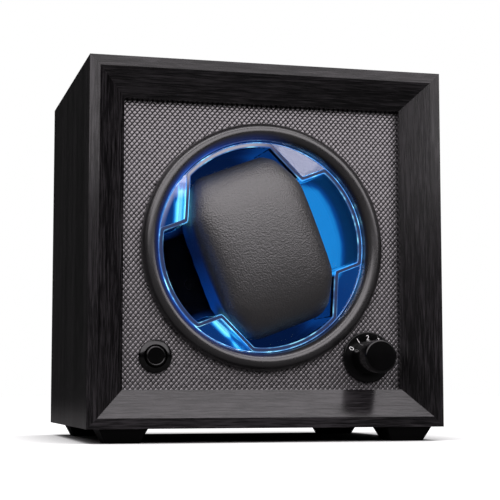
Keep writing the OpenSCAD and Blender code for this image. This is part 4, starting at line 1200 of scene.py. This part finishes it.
def make_button_surround():
    """A low cone with a soft outer edge and a narrow lip round the cap, on a barrel through the panel."""
    profile = [(BUTTON_R, PANEL_Y)] + arc(BUTTON_R - BUTTON_EDGE, BUTTON_EDGE_Y, BUTTON_EDGE, 0, -66, 6)
    profile += [(5.35, 11.03), (5.12, 11.0), (4.99, 11.12), (CAP_HOLE_R, 11.5)]
    profile += [(CAP_HOLE_R, SPRING_END_Y), (PLUNGER_HOLE_R, SPRING_END_Y), (PLUNGER_HOLE_R, BARREL_END_Y)]
    profile += [(BARREL_R, BARREL_END_Y), (BARREL_R, PANEL_Y)]
    surround = lathe("button_surround", "cabinet", "gloss_black", (-CONTROL_X, CONTROL_Z), profile,
                     MATERIALS["gloss_black"], 96)
    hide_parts("button_bezel")


def make_button_cap():
    """A flat face inside a raised, chamfered rim, on the plunger that presses the switch."""
    profile = [(ON_AXIS_R, 10.55), (3.55, 10.55), (3.68, 10.42), (3.85, 10.36), (4.1, 10.45)]
    profile += [(4.55, 10.9), (CAP_R, 11.2), (CAP_R, CAP_BACK_Y), (PLUNGER_R, CAP_BACK_Y)]
    profile += [(PLUNGER_R, PLUNGER_HEAD_Y), (PLUNGER_HEAD_R, PLUNGER_HEAD_Y)]
    profile += [(PLUNGER_HEAD_R, PLUNGER_END_Y), (ON_AXIS_R, PLUNGER_END_Y)]
    cap = lathe("button_cap_finished", "button", "gloss_black", (-CONTROL_X, CONTROL_Z), profile,
                MATERIALS["gloss_black"], 96)
    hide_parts("button_cap")


def make_spring():
    """The button's return spring, coil for coil as in the CAD."""
    mesh = NODES["button_spring"].data.copy()
    spring = link("button_spring_finished", mesh, "cabinet", NODE_SLOTS["button_spring"],
                  MATERIALS["spring_steel"])
    smooth(mesh, 40)
    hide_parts("button_spring")
    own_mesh(spring)


def make_dial():
    """A thin disc with a rounded edge and a shallow groove round the knob's foot."""
    profile = [(DIAL_R, PANEL_Y)] + arc(DIAL_R - DIAL_EDGE, DIAL_FACE_Y + DIAL_EDGE, DIAL_EDGE, 0, -90, 6)
    profile += [(7.75, DIAL_FACE_Y), (7.68, DIAL_GROOVE_Y), (7.5, DIAL_GROOVE_Y), (7.43, DIAL_FACE_Y)]
    profile += [(DIAL_HOLE_R, DIAL_FACE_Y), (DIAL_HOLE_R, PANEL_Y)]
    dial = lathe("dial_disc", "cabinet", "dial_black", (CONTROL_X, CONTROL_Z), profile,
                 MATERIALS["dial_black"], 128)
    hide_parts("speed_dial")


def make_knob():
    """A straight skirt, a rounded shoulder and a very slightly dished face; the knob is hollow behind."""
    shoulder_y = KNOB_FACE_Y + KNOB_SHOULDER
    inner_r = KNOB_R - KNOB_WALL
    profile = [(KNOB_R, KNOB_FOOT_Y)] + arc(KNOB_R - KNOB_SHOULDER, shoulder_y, KNOB_SHOULDER, 0, -90, 7)
    profile += [(5.6, -6.46), (3.0, -6.38), (ON_AXIS_R, -6.36), (ON_AXIS_R, KNOB_BORE_Y)]
    profile += [(KNOB_BORE_R, KNOB_BORE_Y), (KNOB_BORE_R, KNOB_RECESS_Y)]
    profile += [(inner_r, KNOB_RECESS_Y), (inner_r, KNOB_FOOT_Y)]
    knob = lathe("knob_cap", "knob", "gloss_black", (CONTROL_X, CONTROL_Z), profile,
                 MATERIALS["gloss_black"], 128)
    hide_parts("speed_knob")


def make_number(number, degrees):
    """One of the dial's printed numbers, at an angle round the knob and turned to face its centre."""
    name = "dial_number_%d" % number
    curve = bpy.data.curves.new("number", "FONT")
    curve.body = str(number)
    curve.size = NUMBER_H * MM / FONT_CAP_SHARE
    curve.align_x = "CENTER"
    curve.align_y = "CENTER"
    curve.resolution_u = 6
    curve.extrude = 0.00002
    curve.offset = -0.00001
    text = bpy.data.objects.new(name, curve)
    bpy.context.scene.collection.objects.link(text)
    graph = bpy.context.evaluated_depsgraph_get()
    mesh = bpy.data.meshes.new_from_object(text.evaluated_get(graph))
    bpy.data.objects.remove(text)
    angle = math.radians(degrees)
    across = NUMBER_RING_R * math.cos(angle)
    up = NUMBER_RING_R * math.sin(angle)
    place = at(CONTROL_X + across, NUMBER_Y, CONTROL_Z + up)
    turn = Matrix.Rotation(-(angle - math.pi / 2), 4, "Y") @ Matrix.Rotation(math.pi / 2, 4, "X")
    mesh.transform(Matrix.Translation(place) @ turn)
    link(name, mesh, "cabinet", "dial_black", MATERIALS["ink"])


make_button_surround()
make_button_cap()
make_spring()
make_dial()
make_knob()
for number, degrees in enumerate(NUMBER_ANGLES):
    make_number(number, degrees)
